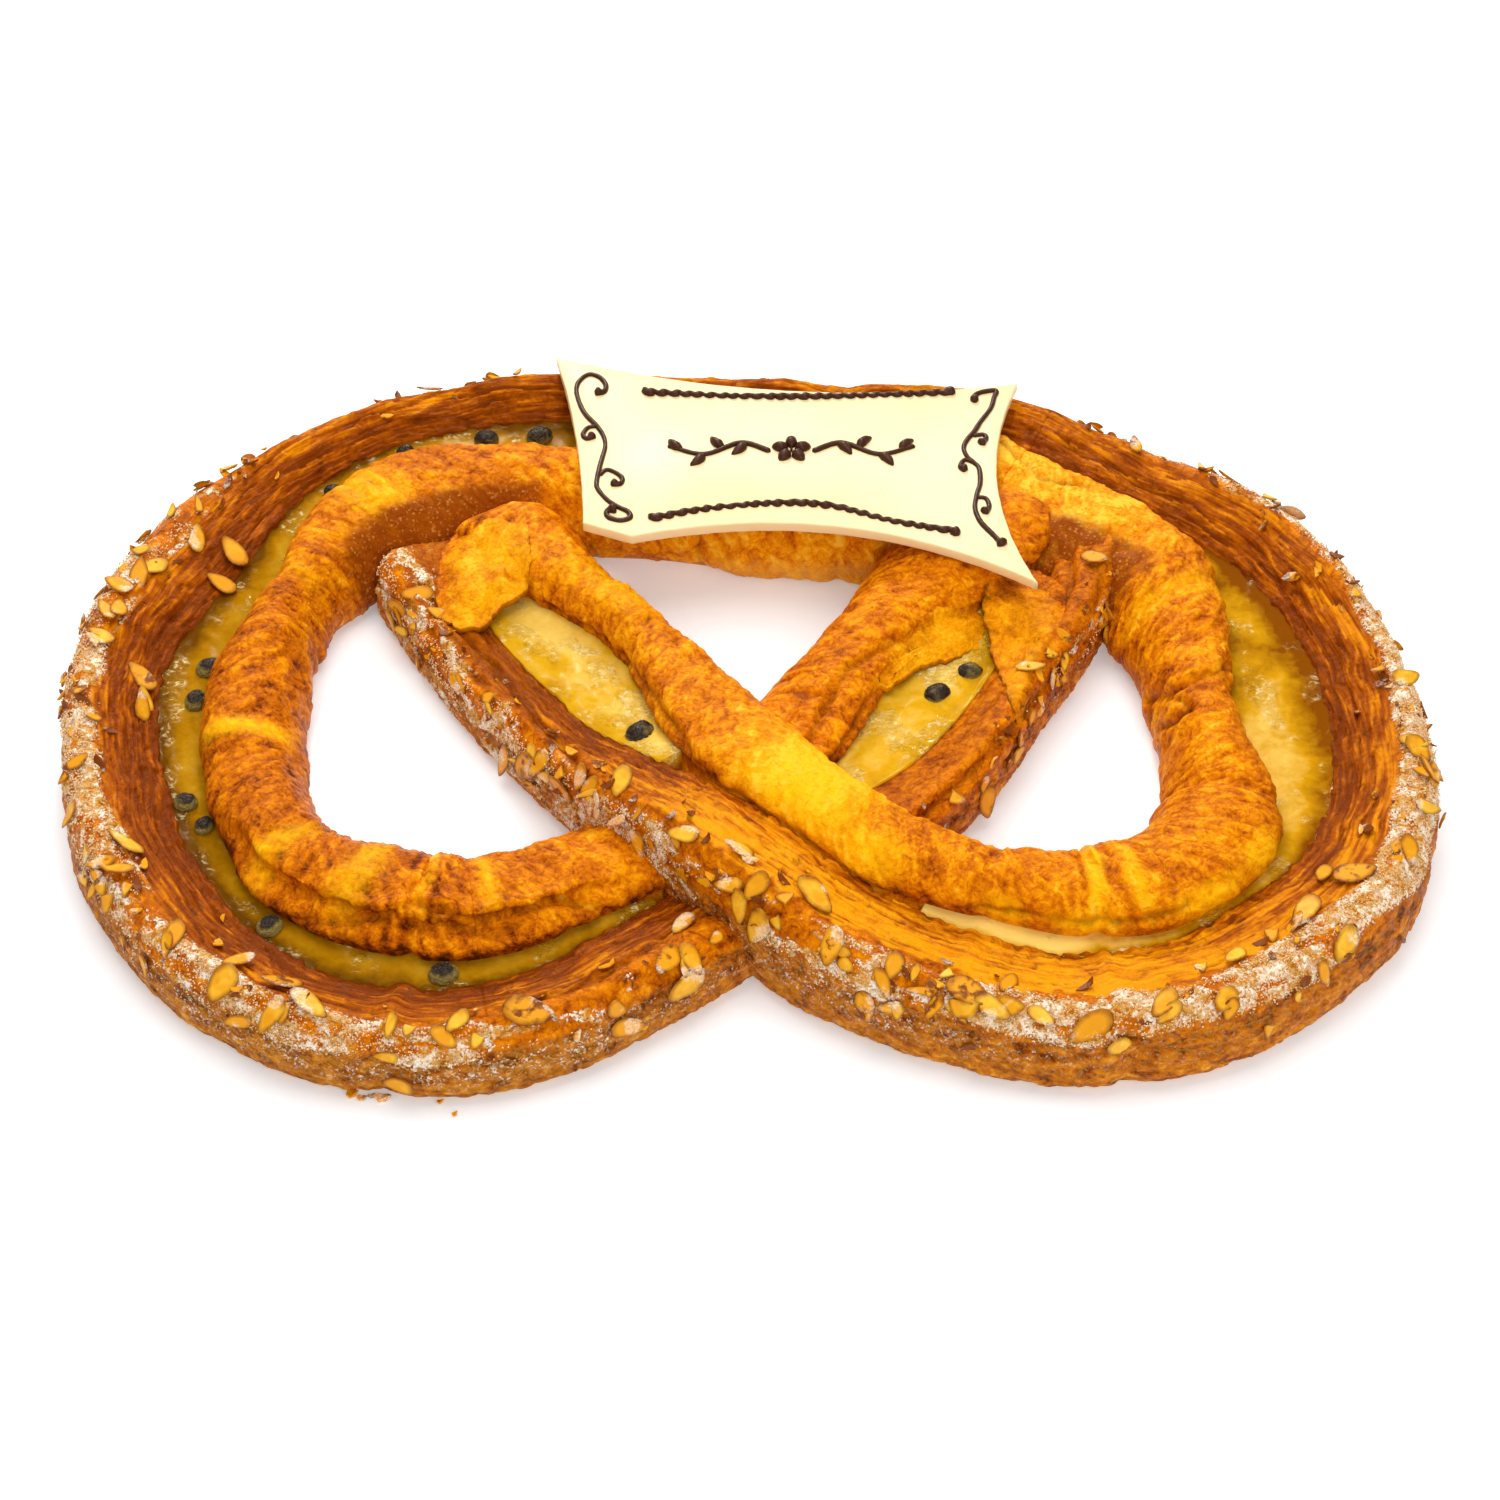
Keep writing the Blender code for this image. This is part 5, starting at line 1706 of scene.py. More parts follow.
@dataclass
class Custard:
    """The custard in the split, one piece for each stretch where it shows.

    Attributes:
        course: The rope that it lies in.
        step: Distance between its sections on the ring.
        count: Points across it there.
        fine_step: The same distance on the arms.
        fine_count: Points across it there.
        tuck: How far it reaches into each wall of dough.
        spans: For each stretch: its piece, its first and last station, where it lies, and its height
            in mm above the lip of the dough.
    """

    course: Course
    step: float = 0.8 * MM
    count: int = 40
    fine_step: float = 0.5 * MM
    fine_count: int = 70
    tuck: float = 1.2 * MM
    spans: tuple[tuple[str, float, float, Spot, float], ...] = (
        ("custard_right_arm", 1.2, 3.6, Spot.ARM, 0.8),
        ("custard_left_ring", 4.6, 16.9, Spot.RING, -1.2),
        ("custard_right_ring", 19.0, 25.6, Spot.RING, -1.2),
        ("custard_left_arm", 28.2, 31.3, Spot.ARM, 0.8),
    )

    def build_stretch(
        self, name: str, start: float, end: float, spot: Spot, level_mm: float
    ) -> bpy.types.Object:
        """Builds one stretch.

        Args:
            name: Name of the piece.
            start: Its first station.
            end: Its last station.
            spot: Where it lies.
            level_mm: Its height above the lip of the dough.

        Returns:
            The object.
        """
        low, high = self.course.at_station(start), self.course.at_station(end)
        arm = spot is Spot.ARM
        step, count = (self.fine_step, self.fine_count) if arm else (self.step, self.count)
        at = np.linspace(low, high, round((high - low) / step) + 1)
        m = self.course.measures(at)
        half = m["width"] / 2
        nut_wall = half - m["nut"] + self.tuck * m["opened"]
        smooth_wall = half - m["start"] - self.tuck * m["opened"]
        across = np.linspace(0, 1, count)[None]
        x = nut_wall[:, None] * (1 - across) + smooth_wall[:, None] * across
        u, v = at[:, None] / MM, x / MM
        ripple = ease((cloudy(u / 20, v / 14, 204) - (0.0 if arm else 0.12)) / 0.25)
        relief = (1.1 if arm else 0.7) * cloudy(u / 15, v / 12, 201, 2)
        ridge = ease(1 - 4 * np.abs(grain(u / 4.2, v / 3.6, 202)))
        relief += ripple * (0.34 * ridge + 0.34 * grain(u / 3.0, v / 2.2, 203))
        rim = (2 * across - 1) ** 8
        top = (m["lip"][:, None] / MM + level_mm + relief + 0.8 * rim) * MM
        floor = m["bed"][:, None] + 0.3 * MM
        rows = np.stack([x, np.maximum(top, floor + 1 * MM)], axis=2)
        bottom = np.stack([x[:, [-1, 0]], np.broadcast_to(floor, (len(at), 2))], axis=2)
        points = self.course.place(at, np.concatenate([rows, bottom], axis=1))
        # Painted shade: darker towards the almond wall and a little towards the smooth wall, where the walls
        # shade the custard, partly a deeper amber there too. The table adds its darkening along the stretch.
        wall = ease((0.6 - across) / 0.6) + 0.5 * ease((across - 0.85) / 0.15)
        shade = read_along(CUSTARD_TONE_AND_PAINTED_SHADE, self.course.station_at(at))[:, None]
        lie = np.zeros(points.shape)
        lie[:, :count, 0] = wall * (0.5 if arm else 1.0) + shade
        lie[:, :count, 1] = ripple
        return grid_object(f"set_{name}", points, {"lie": lie})

    def build(self, finishes: dict[str, CustardFinish]) -> list[bpy.types.Object]:
        """Builds each stretch.

        Args:
            finishes: The look for each piece, by name.

        Returns:
            One object for each stretch.
        """
        made = []
        for name, *span in self.spans:
            obj = self.build_stretch(name, *span)
            obj.data.materials.append(finishes[name].material())
            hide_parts(name)
            made.append(obj)
        return made


@dataclass
class Raisins:
    """The raisins, each a wrinkled ball half sunk in the custard."""

    course: Course
    subdivisions: int = 5
    flatness: tuple[float, float, float] = (0.5, 0.42, 0.36)

    def ball(self, seed: float, place: Matrix) -> bpy.types.Mesh:
        """One wrinkled raisin, which this matrix puts in place.

        Args:
            seed: Picks its wrinkles.
            place: Its size, turn and place.

        Returns:
            The mesh.
        """
        shape = bmesh.new()
        bmesh.ops.create_icosphere(shape, subdivisions=self.subdivisions, radius=1)
        for vert in shape.verts:
            p = vert.co * 2.1 + Vector((seed, 0, 0))
            coarse, fine = (max(0.0, 1 - 9 * abs(noise.noise(p * size))) for size in (1.3, 2.6))
            vert.co *= 1.0 - 0.13 * (coarse + 0.7 * fine) + 0.08 * noise.noise(p)
        shape.transform(place)
        mesh = bpy.data.meshes.new("raisin")
        shape.to_mesh(mesh)
        shape.free()
        return mesh

    def build(self, finish: RaisinFinish) -> bpy.types.Object:
        """Builds all the raisins as one object.

        Args:
            finish: The look of the raisins.

        Returns:
            The object.
        """
        whole = bmesh.new()
        for i, (station, across, long, turn) in enumerate(RAISINS):
            at = np.array([self.course.at_station(station)])
            height = float(self.course.measures(at)["lip"][0])
            centre = self.course.place(at, np.array([[[across * MM, height]]]))[0, 0]
            long *= MM
            size = Matrix.Diagonal((*(share * long for share in self.flatness), 1))
            turned = Matrix.Rotation(math.radians(turn), 4, "Z")
            mesh = self.ball(i * 7.0, Matrix.Translation(centre) @ turned @ size)
            whole.from_mesh(mesh)
            bpy.data.meshes.remove(mesh)
        mesh = bpy.data.meshes.new("raisins")
        whole.to_mesh(mesh)
        whole.free()
        mesh.shade_smooth()
        heights = np.array([vert.co.z for vert in mesh.vertices]).reshape(len(RAISINS), -1)
        low = (heights.max(axis=1, keepdims=True) - heights) / MM
        stations = np.array(RAISINS)[:, :1]
        start = np.where((stations > 4) & (stations < 12.9), 0.9, 2.6)
        carry(mesh, "film", "FLOAT", ease((low - start) / 1.6))
        mesh.materials.append(finish.material())
        return linked("raisins", mesh)


def start_tree(name: str, inputs: dict[str, str]) -> tuple[Graph, bpy.types.NodeOutputs]:
    """Starts a Geometry Nodes tree that takes a geometry and a material.

    Args:
        name: Its name.
        inputs: Its other inputs, and the type of each.

    Returns:
        Its graph, and the outputs of its input node.
    """
    tree = bpy.data.node_groups.new(name, "GeometryNodeTree")
    face = tree.interface
    for label, kind in {"Geometry": "Geometry", **inputs, "Material": "Material"}.items():
        face.new_socket(label, in_out="INPUT", socket_type=f"NodeSocket{kind}")
    face.new_socket("Geometry", in_out="OUTPUT", socket_type="NodeSocketGeometry")
    graph = Graph(tree)
    return graph, graph.node("NodeGroupInput").outputs


def evaluated(obj: bpy.types.Object, g: Graph, geometry: object, settings: dict) -> bpy.types.Object:
    """Ends a Geometry Nodes tree, runs it on an object and keeps the result as its plain mesh.

    Args:
        obj: The object.
        g: The tree's graph.
        geometry: The socket with its geometry, which is made real and gets the material.
        settings: What goes into the tree's inputs, by name.

    Returns:
        The same object, without the modifier.
    """
    given = g.tree.nodes["Group Input"].outputs
    real = g.node("GeometryNodeRealizeInstances", {0: geometry}).outputs[0]
    coated = g.node("GeometryNodeSetMaterial", {"Geometry": real, "Material": given["Material"]})
    g.node("NodeGroupOutput", {0: coated.outputs[0]})
    modifier = obj.modifiers.new("tree", "NODES")
    modifier.node_group = g.tree
    for socket in g.tree.interface.items_tree:
        if socket.name in settings:
            modifier[socket.identifier] = settings[socket.name]
    graph = bpy.context.evaluated_depsgraph_get()
    made = bpy.data.meshes.new_from_object(obj.evaluated_get(graph))
    made.name = obj.name
    obj.modifiers.remove(modifier)
    obj.data = made
    return obj


def scatter(
    name: str,
    places: tuple[np.ndarray, np.ndarray, np.ndarray],
    tints: np.ndarray,
    shape: bpy.types.Object,
    coat: bpy.types.Material,
) -> bpy.types.Object:
    """Puts a small shape on many points with a Geometry Nodes tree, as one plain mesh.

    Args:
        name: Name of the object.
        places: The points, the Euler turns and the sizes, each count by 3.
        tints: One value for each shape, which its material reads.
        shape: The object to repeat. It is removed afterwards.
        coat: The material.

    Returns:
        The object.
    """
    points, turns, sizes = places
    mesh = bpy.data.meshes.new(name)
    mesh.from_pydata([tuple(p) for p in points], [], [])
    carry(mesh, "turn", "FLOAT_VECTOR", turns)
    carry(mesh, "size", "FLOAT_VECTOR", sizes)
    carry(mesh, "tint", "FLOAT", tints)
    obj = linked(name, mesh)
    g, given = start_tree(f"Scatter {name}", {"Piece": "Object", "Scale": "Float"})
    turn, size = (
        g.node("GeometryNodeInputNamedAttribute", {"Name": label}, data_type="FLOAT_VECTOR").outputs[0]
        for label in ("turn", "size")
    )
    source = g.node("GeometryNodeObjectInfo", {"Object": given["Piece"], "As Instance": True})
    sized = g.node("ShaderNodeVectorMath", {0: size, "Scale": given["Scale"]}, operation="SCALE")
    inputs = {
        "Points": given["Geometry"],
        "Instance": source.outputs["Geometry"],
        "Rotation": g.node("FunctionNodeEulerToRotation", {0: turn}).outputs[0],
        "Scale": sized.outputs[0],
    }
    placed = g.node("GeometryNodeInstanceOnPoints", inputs).outputs[0]
    obj = evaluated(obj, g, placed, {"Piece": shape, "Scale": 1.0, "Material": coat})
    bpy.data.objects.remove(shape)
    return obj


def euler_turns(axes: np.ndarray, spins: np.ndarray, leans: np.ndarray, tilts: np.ndarray) -> np.ndarray:
    """Turns for shapes that lie on a surface.

    Args:
        axes: Count by 3 by 3, the surface's directions as rows.
        spins: Turn about the outward direction, in radians.
        leans: Then the lean about the shape's own Y, in radians.
        tilts: Then the tilt about the shape's own X, in radians.

    Returns:
        Euler turns, count by 3.
    """
    turns = []
    for rows, spin, lean, tilt in zip(axes, spins, leans, tilts):
        out = Vector(rows[2])
        along = (Vector(rows[0]) - out * Vector(rows[0]).dot(out)).normalized()
        lie = Matrix((along, out.cross(along), out)).transposed()
        turned = Matrix.Rotation(spin, 3, "Z") @ Matrix.Rotation(lean, 3, "Y")
        turns.append((lie @ turned @ Matrix.Rotation(tilt, 3, "X")).to_euler())
    return np.array(turns)


@dataclass
class AlmondFlakes:
    """Flaked almonds along the outer roll.

    Attributes:
        course: The rope that they lie on.
        extra: How many lie between those that stand out.
        seed: Seed of the random draws.
        length_mm: Length of a whole slice.
        width_mm: Its width.
        thickness_mm: Its thickness.
        growth: How much larger every slice is than its row in the table says.
        sides: Points round a slice.
        rings: Rings from the middle of a face to the rim: size, rise, and how brown the skin is.
        forms: Kinds of slice: name, share of the length broken off, and share of the width.
    """

    course: Course
    extra: int = 170
    seed: int = 5
    length_mm: float = 15.0
    width_mm: float = 8.2
    thickness_mm: float = 1.1
    growth: float = 1.12
    sides: int = 16
    rings: tuple[tuple[float, float, float], ...] = ((0.62, 0.5, 0.1), (0.88, 0.38, 0.75), (1.0, 0.0, 1.0))
    forms: tuple[tuple[str, float, float], ...] = (
        ("almond_whole", 0.0, 1.0),
        ("almond_broken", 0.4, 1.0),
        ("almond_sliver", 0.1, 0.5),
    )

    def slice_of_almond(self, kind: str, cut: float, narrow: float) -> bpy.types.Object:
        """One almond slice, flat on XY and a little cupped.

        Args:
            kind: Name of the shape.
            cut: Share of the length that has broken off at one end.
            narrow: Width as a share of a whole slice's width.

        Returns:
            The shape, of a few dozen faces.
        """
        upper = [(size, rise, rim) for size, rise, rim in self.rings]
        lower = [(size, -rise, rim) for size, rise, rim in self.rings[-2::-1]]
        verts = []
        for size, rise, _ in upper + lower:
            for j in range(self.sides):
                angle = 2 * math.pi * j / self.sides
                x = max(math.cos(angle), -1 + 2 * cut) * size
                y = math.sin(angle) * (1 - 0.28 * math.cos(angle)) * size * narrow
                wave = 0.05 * math.sin(3 * angle)
                px = 0.5 * self.length_mm * (x + wave * size)
                py = 0.5 * self.width_mm * y
                cup = 0.012 * px * px + 0.02 * py * py
                verts.append(Vector((px, py, rise * self.thickness_mm + cup)) * MM)
        faces = []
        for first in range(0, len(verts) - self.sides, self.sides):
            for j in range(self.sides):
                near, after = first + j, first + (j + 1) % self.sides
                faces.append((near, near + self.sides, after + self.sides, after))
        faces.append(tuple(range(self.sides)))
        faces.append(tuple(reversed(range(len(verts) - self.sides, len(verts)))))
        mesh = bpy.data.meshes.new(kind)
        mesh.from_pydata(verts, [], faces)
        mesh.shade_smooth()
        carry(mesh, "rim", "FLOAT", np.repeat([rim for _, _, rim in upper + lower], self.sides))
        return linked(kind, mesh)

    def rows(self, draw: np.random.Generator) -> np.ndarray:
        """The station, share over the roll, turn in radians and length in mm of every slice.

        Args:
            draw: The random draws.

        Returns:
            Count by 4.
        """
        rows = [(station, share, math.radians(turn), long) for station, share, turn, long in FLAKES_TO_SEE]
        while len(rows) < len(FLAKES_TO_SEE) + self.extra:
            station = float(draw.uniform(0.6, 31.4))
            share = float(np.clip(draw.normal(0.47, 0.09), 0.15, 0.75))
            if any(start < station < end for start, end in FLAKE_FREE_SPANS):
                if station < 10:
                    continue
                share *= 0.6
            rows.append((station, share, float(draw.uniform(0, math.pi)), float(draw.uniform(6, 13))))
        return np.array(rows, float)

    def build(self, coat: bpy.types.Material) -> list[bpy.types.Object]:
        """Lays the flakes: the ones that stand out, and more in between.

        Args:
            coat: The look of the almonds.

        Returns:
            One object for each kind of flake.
        """
        draw = np.random.default_rng(self.seed)
        stations, shares, spins, lengths = self.rows(draw).T
        count = len(stations)
        points, axes = self.course.nut_points(self.course.at_station(stations), shares)
        leans = draw.normal(0, 0.22, count)
        tilts = draw.normal(0, 0.2, count)
        points = points + axes[:, 2] * (draw.uniform(0.9, 2.0, count) * MM)[:, None]
        turns = euler_turns(axes, spins, leans, tilts)
        scale = self.growth * lengths / self.length_mm
        sizes = np.column_stack([scale, scale * draw.uniform(0.8, 1.15, count), np.ones(count)])
        tints = np.where(draw.uniform(0, 1, count) < 0.12, 0.85, draw.uniform(0.05, 0.7, count))
        kinds = draw.choice(3, count, p=(0.62, 0.2, 0.18))
        seen = len(FLAKES_TO_SEE)
        kinds[:seen] = lengths[:seen] < 10.5
        made = []
        for k, (name, cut, narrow) in enumerate(self.forms):
            mine = kinds == k
            shape = self.slice_of_almond(f"{name}_shape", cut, narrow)
            made.append(scatter(name, (points[mine], turns[mine], sizes[mine]), tints[mine], shape, coat))
        return made


@dataclass
class SugarCrystals:
    """Coarse sugar grains on the crust.

    Attributes:
        course: The rope that they lie on.
        tries: How many places are tried.
        seed: Seed of the random draws.
        grain_mm: Least and greatest size of a grain.
        roll_mm: Distance over the almond roll.
    """

    course: Course
    tries: int = 45000
    seed: int = 12
    grain_mm: tuple[float, float] = (0.3, 0.7)
    roll_mm: float = 92.0

    def build(self, finish: PlainFinish) -> bpy.types.Object:
        """Scatters the grains where the crest carries sugar.

        Args:
            finish: The look of the sugar.

        Returns:
            The object.
        """
        draw = np.random.default_rng(self.seed)
        stations = draw.uniform(0.1, 31.9, self.tries)
        keep = draw.uniform(0, 1, len(stations)) < read_along(SUGAR_ALONG, stations) ** 1.5
        stations = stations[keep & bare(stations)]
        count = len(stations)
        shares = draw.uniform(0.34, 0.62, count)
        at = self.course.at_station(stations)
        cover = sugar_cover(at / MM, shares * self.roll_mm, shares, stations)
        kept = draw.uniform(0, 1, count) < cover
        at, shares, count = at[kept], shares[kept], int(kept.sum())
        points, axes = self.course.nut_points(at, shares)
        points = points + axes[:, 2] * (draw.uniform(0.5, 1.3, count) * MM)[:, None]
        turns = draw.uniform(0, math.pi, (count, 3))
        sizes = (draw.uniform(*self.grain_mm, count) * MM)[:, None] * draw.uniform(0.7, 1.2, (count, 3))
        cube = bmesh.new()
        bmesh.ops.create_cube(cube, size=0.8)
        mesh = bpy.data.meshes.new("grain")
        cube.to_mesh(mesh)
        cube.free()
        shape = linked("grain", mesh)
        tints = draw.uniform(0, 1, count)
        return scatter("sugar_grains", (points, turns, sizes), tints, shape, finish.material())


@dataclass
class Plaque:
    """The white chocolate slab.

    Attributes:
        corners: For each corner, its x and y in mm, and how far the side after it curves in.
        thickness_mm: Its thickness.
        level_mm: Height of its lower face at level_y_mm.
        level_y_mm: The y where that height is given.
        slope: How much it falls for each mm towards the back.
        edge_mm: Size of its softened edges.
        wave_mm: How much its edge wanders.
    """

    corners: tuple[tuple[tuple[float, float], float], ...] = (
        ((-87, 227), 15),
        ((119, 207), 13),
        ((120, 68), 22),
        ((-50, 99), 0),
        ((-71, 108), 3),
    )
    thickness_mm: float = 5.0
    level_mm: float = 41.5
    level_y_mm: float = 150.0
    slope: float = 0.05
    edge_mm: float = 0.7
    wave_mm: float = 0.25

    def spot(self, x: float, y: float, rise: float) -> Vector:
        """A point above the slab's lower face, from its place and rise in mm.

        Args:
            x: Its x.
            y: Its y.
            rise: Its height above that face.

        Returns:
            The point, in metres.
        """
        height = self.level_mm - self.slope * (y - self.level_y_mm) + rise
        return Vector((x - ORIGIN[0], y - ORIGIN[1], height)) * MM

    def outline(self, step_mm: float = 3.0) -> list[Vector]:
        """The slab's edge in plan, in mm: each side is an arc that curves in.

        Args:
            step_mm: Distance between its points.

        Returns:
            The points.
        """
        corners = [Vector(corner) for corner, _ in self.corners]
        line = []
        for i, (corner, (_, sag)) in enumerate(zip(corners, self.corners)):
            side = corners[(i + 1) % len(corners)] - corner
            steps = max(1, round(side.length / step_mm))
            inwards = Vector((side.y, -side.x)).normalized()
            for k in range(steps):
                t = k / steps
                line.append(corner + side * t + inwards * sag * 4 * t * (1 - t))
        return line

    def build_slab(self, finish: PlainFinish) -> bpy.types.Object:
        """The slab, with softened edges.

        Args:
            finish: The look of white chocolate.

        Returns:
            The object.
        """
        line = self.outline()
        inwards = []
        for before, after in zip(line[-1:] + line[:-1], line[1:] + line[:1]):
            run = after - before
            inwards.append(Vector((run.y, -run.x)).normalized())
        e, t = self.edge_mm, self.thickness_mm
        rings = []
        for inset, rise in ((e, 0), (0.3 * e, 0.3 * e), (0, e), (0, t - e), (0.3 * e, t - 0.3 * e), (e, t)):
            ring = []
            for p, n in zip(line, inwards):
                wave = self.wave_mm * noise.noise(Vector((p.x / 6, p.y / 6, rise)))
                q = p + n * (inset + wave)
                ring.append(self.spot(q.x, q.y, rise))
            rings.append(ring)
        obj = grid_object("chocolate_slab", np.array(rings))
        obj.data.materials.append(finish.material())
        return obj


@dataclass(frozen=True)
class Bead:
    """One piped line.

    Attributes:
        points: The points on the slab that it runs through, in mm.
        radii: Its radius from start to end, as shares of the usual radius.
        twist_mm: How far it swings to the sides, as a rope border does.
        blobs: How much thicker it is at its start and at its end.
    """

    points: tuple[tuple[float, float], ...]
    radii: tuple[float, ...]
    twist_mm: float = 0.0
    blobs: tuple[float, float] = (0.0, 0.0)


# The piped scrolls at the slab's sides, their curls, and the rope borders: points in mm.
LEFT_STEM = (
    ((-69, 200), (-65, 200), (-64, 205), (-67, 211), (-72, 213), (-76, 208), (-77, 201), (-75, 191))
    + ((-72, 183), (-67, 175), (-64, 168), (-63, 161), (-64, 153), (-65, 146), (-66, 135), (-65, 130))
    + ((-61, 123), (-56, 118), (-52, 115), (-51, 111), (-55, 109), (-60, 111), (-61, 115), (-57, 117))
)
RIGHT_STEM = (
    ((101, 194), (99, 195), (100, 198), (103, 200), (109, 201), (108, 196), (106, 188), (101, 178))
    + ((98, 171), (95, 166), (93, 160), (94, 154), (97, 149), (99, 145), (99, 135), (97, 126))
    + ((96, 117), (98, 108), (103, 99), (107, 92))
)
STEM_RADII = (0.95, 0.9, 0.8, 0.95, 0.75, 0.9, 0.8, 0.95, 0.9)
LOOPS = (
    ((-67, 175), (-71, 174), (-73, 169), (-71, 166), (-68, 169)),
    ((-65, 140), (-62, 144), (-58, 142), (-55, 138), (-56, 134), (-60, 135)),
    ((97, 168), (102, 169), (103, 166), (100, 162)),
    ((97, 149), (93, 151), (91, 146), (94, 144)),
    ((97, 125), (101, 124), (102, 118), (99, 114)),
)
ROPES = (
    ((-48, 200), (-20, 198), (-1, 197), (36, 197), (91, 200)),
    ((-43, 110), (-19, 117), (12, 121), (35, 119), (60, 109), (89, 101)),
)


@dataclass
class Piping:
    """The dark chocolate piped on the slab: scrolls, rope borders and a sprig of flowers.

    Attributes:
        plaque: The slab.
        radius_mm: Usual radius of a bead.
        step_mm: Distance between its points.
        sides: Faces round it.
        wave_mm: Length of one swing of a rope border.
        blob_mm: Length of the blob at a bead's end.
        flower: Where the flower stands, in mm.
        stem: Points of the stem to its right, from there. The one to its left mirrors it.
        petals: How many petals it has.
        petal_mm: How far they reach.
        leaf_places: Where the leaves stand, as shares of a stem.
        leaf_mm: Length of a leaf.
        leaf_turn: Angle between a leaf and its stem's side, in degrees.
    """

    plaque: Plaque
    radius_mm: float = 1.3
    step_mm: float = 0.7
    sides: int = 12
    wave_mm: float = 5.2
    blob_mm: float = 2.4
    flower: tuple[float, float] = (18, 158)
    stem: tuple[tuple[float, float], ...] = ((9, -1), (22, 5), (38, -3), (54, 3))
    petals: int = 5
    petal_mm: float = 9.0
    leaf_places: tuple[float, ...] = (0.25, 0.45, 0.65, 0.85)
    leaf_mm: float = 10.0
    leaf_turn: float = 52.0

    def border(self) -> list[Bead]:
        """The scrolls, their curls and the rope borders.

        Returns:
            One bead for each line.
        """
        made = [Bead(stem, STEM_RADII, blobs=(1.5, 2.0)) for stem in (LEFT_STEM, RIGHT_STEM)]
        made += [Bead(loop, (0.75, 0.85, 0.9), blobs=(0.0, 1.2)) for loop in LOOPS]
        made += [Bead(rope, (1.35, 0.95, 1.25, 0.9, 1.3), 0.55, (0.9, 1.0)) for rope in ROPES]
        return made

    def sprig(self) -> list[Bead]:
        """The flower, and the leafy stems beside it.

        Returns:
            One bead for each line.
        """
        made = []
        x0, y0 = self.flower
        for k in range(self.petals):
            angle = math.pi / 2 + 2 * math.pi * k / self.petals
            run = Vector((math.cos(angle), math.sin(angle)))
            ends = [Vector(self.flower) + run * far for far in (1.5, 5.5, self.petal_mm)]
            made.append(Bead(tuple(tuple(p) for p in ends), (0.9, 2.2, 1.9, 0.8)))
        made.append(Bead(((x0 - 0.6, y0), (x0 + 0.6, y0)), (1.6, 1.6)))
        for hand in (-1, 1):
            line = tuple((x0 + hand * x, y0 + y) for x, y in self.stem)
            made.append(Bead(line, (1.1, 1.0, 0.9, 0.85)))
            along = smooth_lines(np.array([line]), 101)[0]
            for i, share in enumerate(self.leaf_places):
                root = Vector(along[round(100 * share)])
                angle = math.radians(90 - hand * 90 + hand * (1 if i % 2 else -1) * self.leaf_turn)
                run = Vector((math.cos(angle), math.sin(angle)))
                bow = Vector((-run.y, run.x)) * 0.8
                leaf = (root, root + run * 0.5 * self.leaf_mm + bow, root + run * self.leaf_mm)
                made.append(Bead(tuple(tuple(p) for p in leaf), (0.6, 1.8, 1.5, 0.4)))
        return made

    def draw(self, bead: Bead) -> tuple[list[Vector], np.ndarray]:
        """The points of a bead in space, and its radius in metres at each.

        Args:
            bead: The bead.

        Returns:
            The points and the radii.
        """
        points = np.array(bead.points, float)
        length = float(np.linalg.norm(np.diff(points, axis=0), axis=1).sum())
        count = max(6, round(length / self.step_mm))
        line = smooth_lines(points[None], count)[0] if len(points) > 2 else np.linspace(*points, count)
        at = np.linspace(0, length, count)
        share = np.interp(np.linspace(0, 1, count), np.linspace(0, 1, len(bead.radii)), bead.radii)
        run = np.gradient(line, axis=0)
        side = np.column_stack([-run[:, 1], run[:, 0]]) / np.linalg.norm(run, axis=1, keepdims=True)
        phase = 2 * math.pi * (at + 1.5 * grain(at / 16, points[0, 1], 303)) / self.wave_mm
        line = line + side * (bead.twist_mm * np.sin(phase))[:, None]
        uneven = 1 + 0.5 * grain(at / 9, 0.5, 302)
        share = share * (1 + 0.35 * min(bead.twist_mm, 1) * np.cos(phase + 0.7) * uneven)
        first, last = bead.blobs
        share += first * bell(at / self.blob_mm) + last * bell((length - at) / self.blob_mm)
        share = share * (1 + (0.06 + 0.3 * bead.twist_mm) * grain(at / 3, points[0, 0], 301))
        radius = self.radius_mm * share
        close = np.minimum(at, length - at) / np.maximum(radius, 0.1)
        radius = radius * np.sqrt(np.clip(1 - (1 - np.minimum(close, 1)) ** 2, 0.01, 1))
        rise = self.plaque.thickness_mm + 0.25 * self.radius_mm * share
        space = [self.plaque.spot(x, y, float(z)) for (x, y), z in zip(line, rise)]
        return space, radius * MM

    def wires(self) -> bpy.types.Object:
        """The middle lines of all beads, whose points carry their radius.

        Returns:
            The object, of edges alone.
        """
        points: list[Vector] = []
        radii: list[float] = []
        edges: list[tuple[int, int]] = []
        for bead in self.border() + self.sprig():
            line, radius = self.draw(bead)
            edges += [(len(points) + k, len(points) + k + 1) for k in range(len(line) - 1)]
            points += line
            radii += list(radius)
        mesh = bpy.data.meshes.new("piping")
        mesh.from_pydata(points, edges, [])
        carry(mesh, "thickness", "FLOAT", radii)
        return linked("piping", mesh)

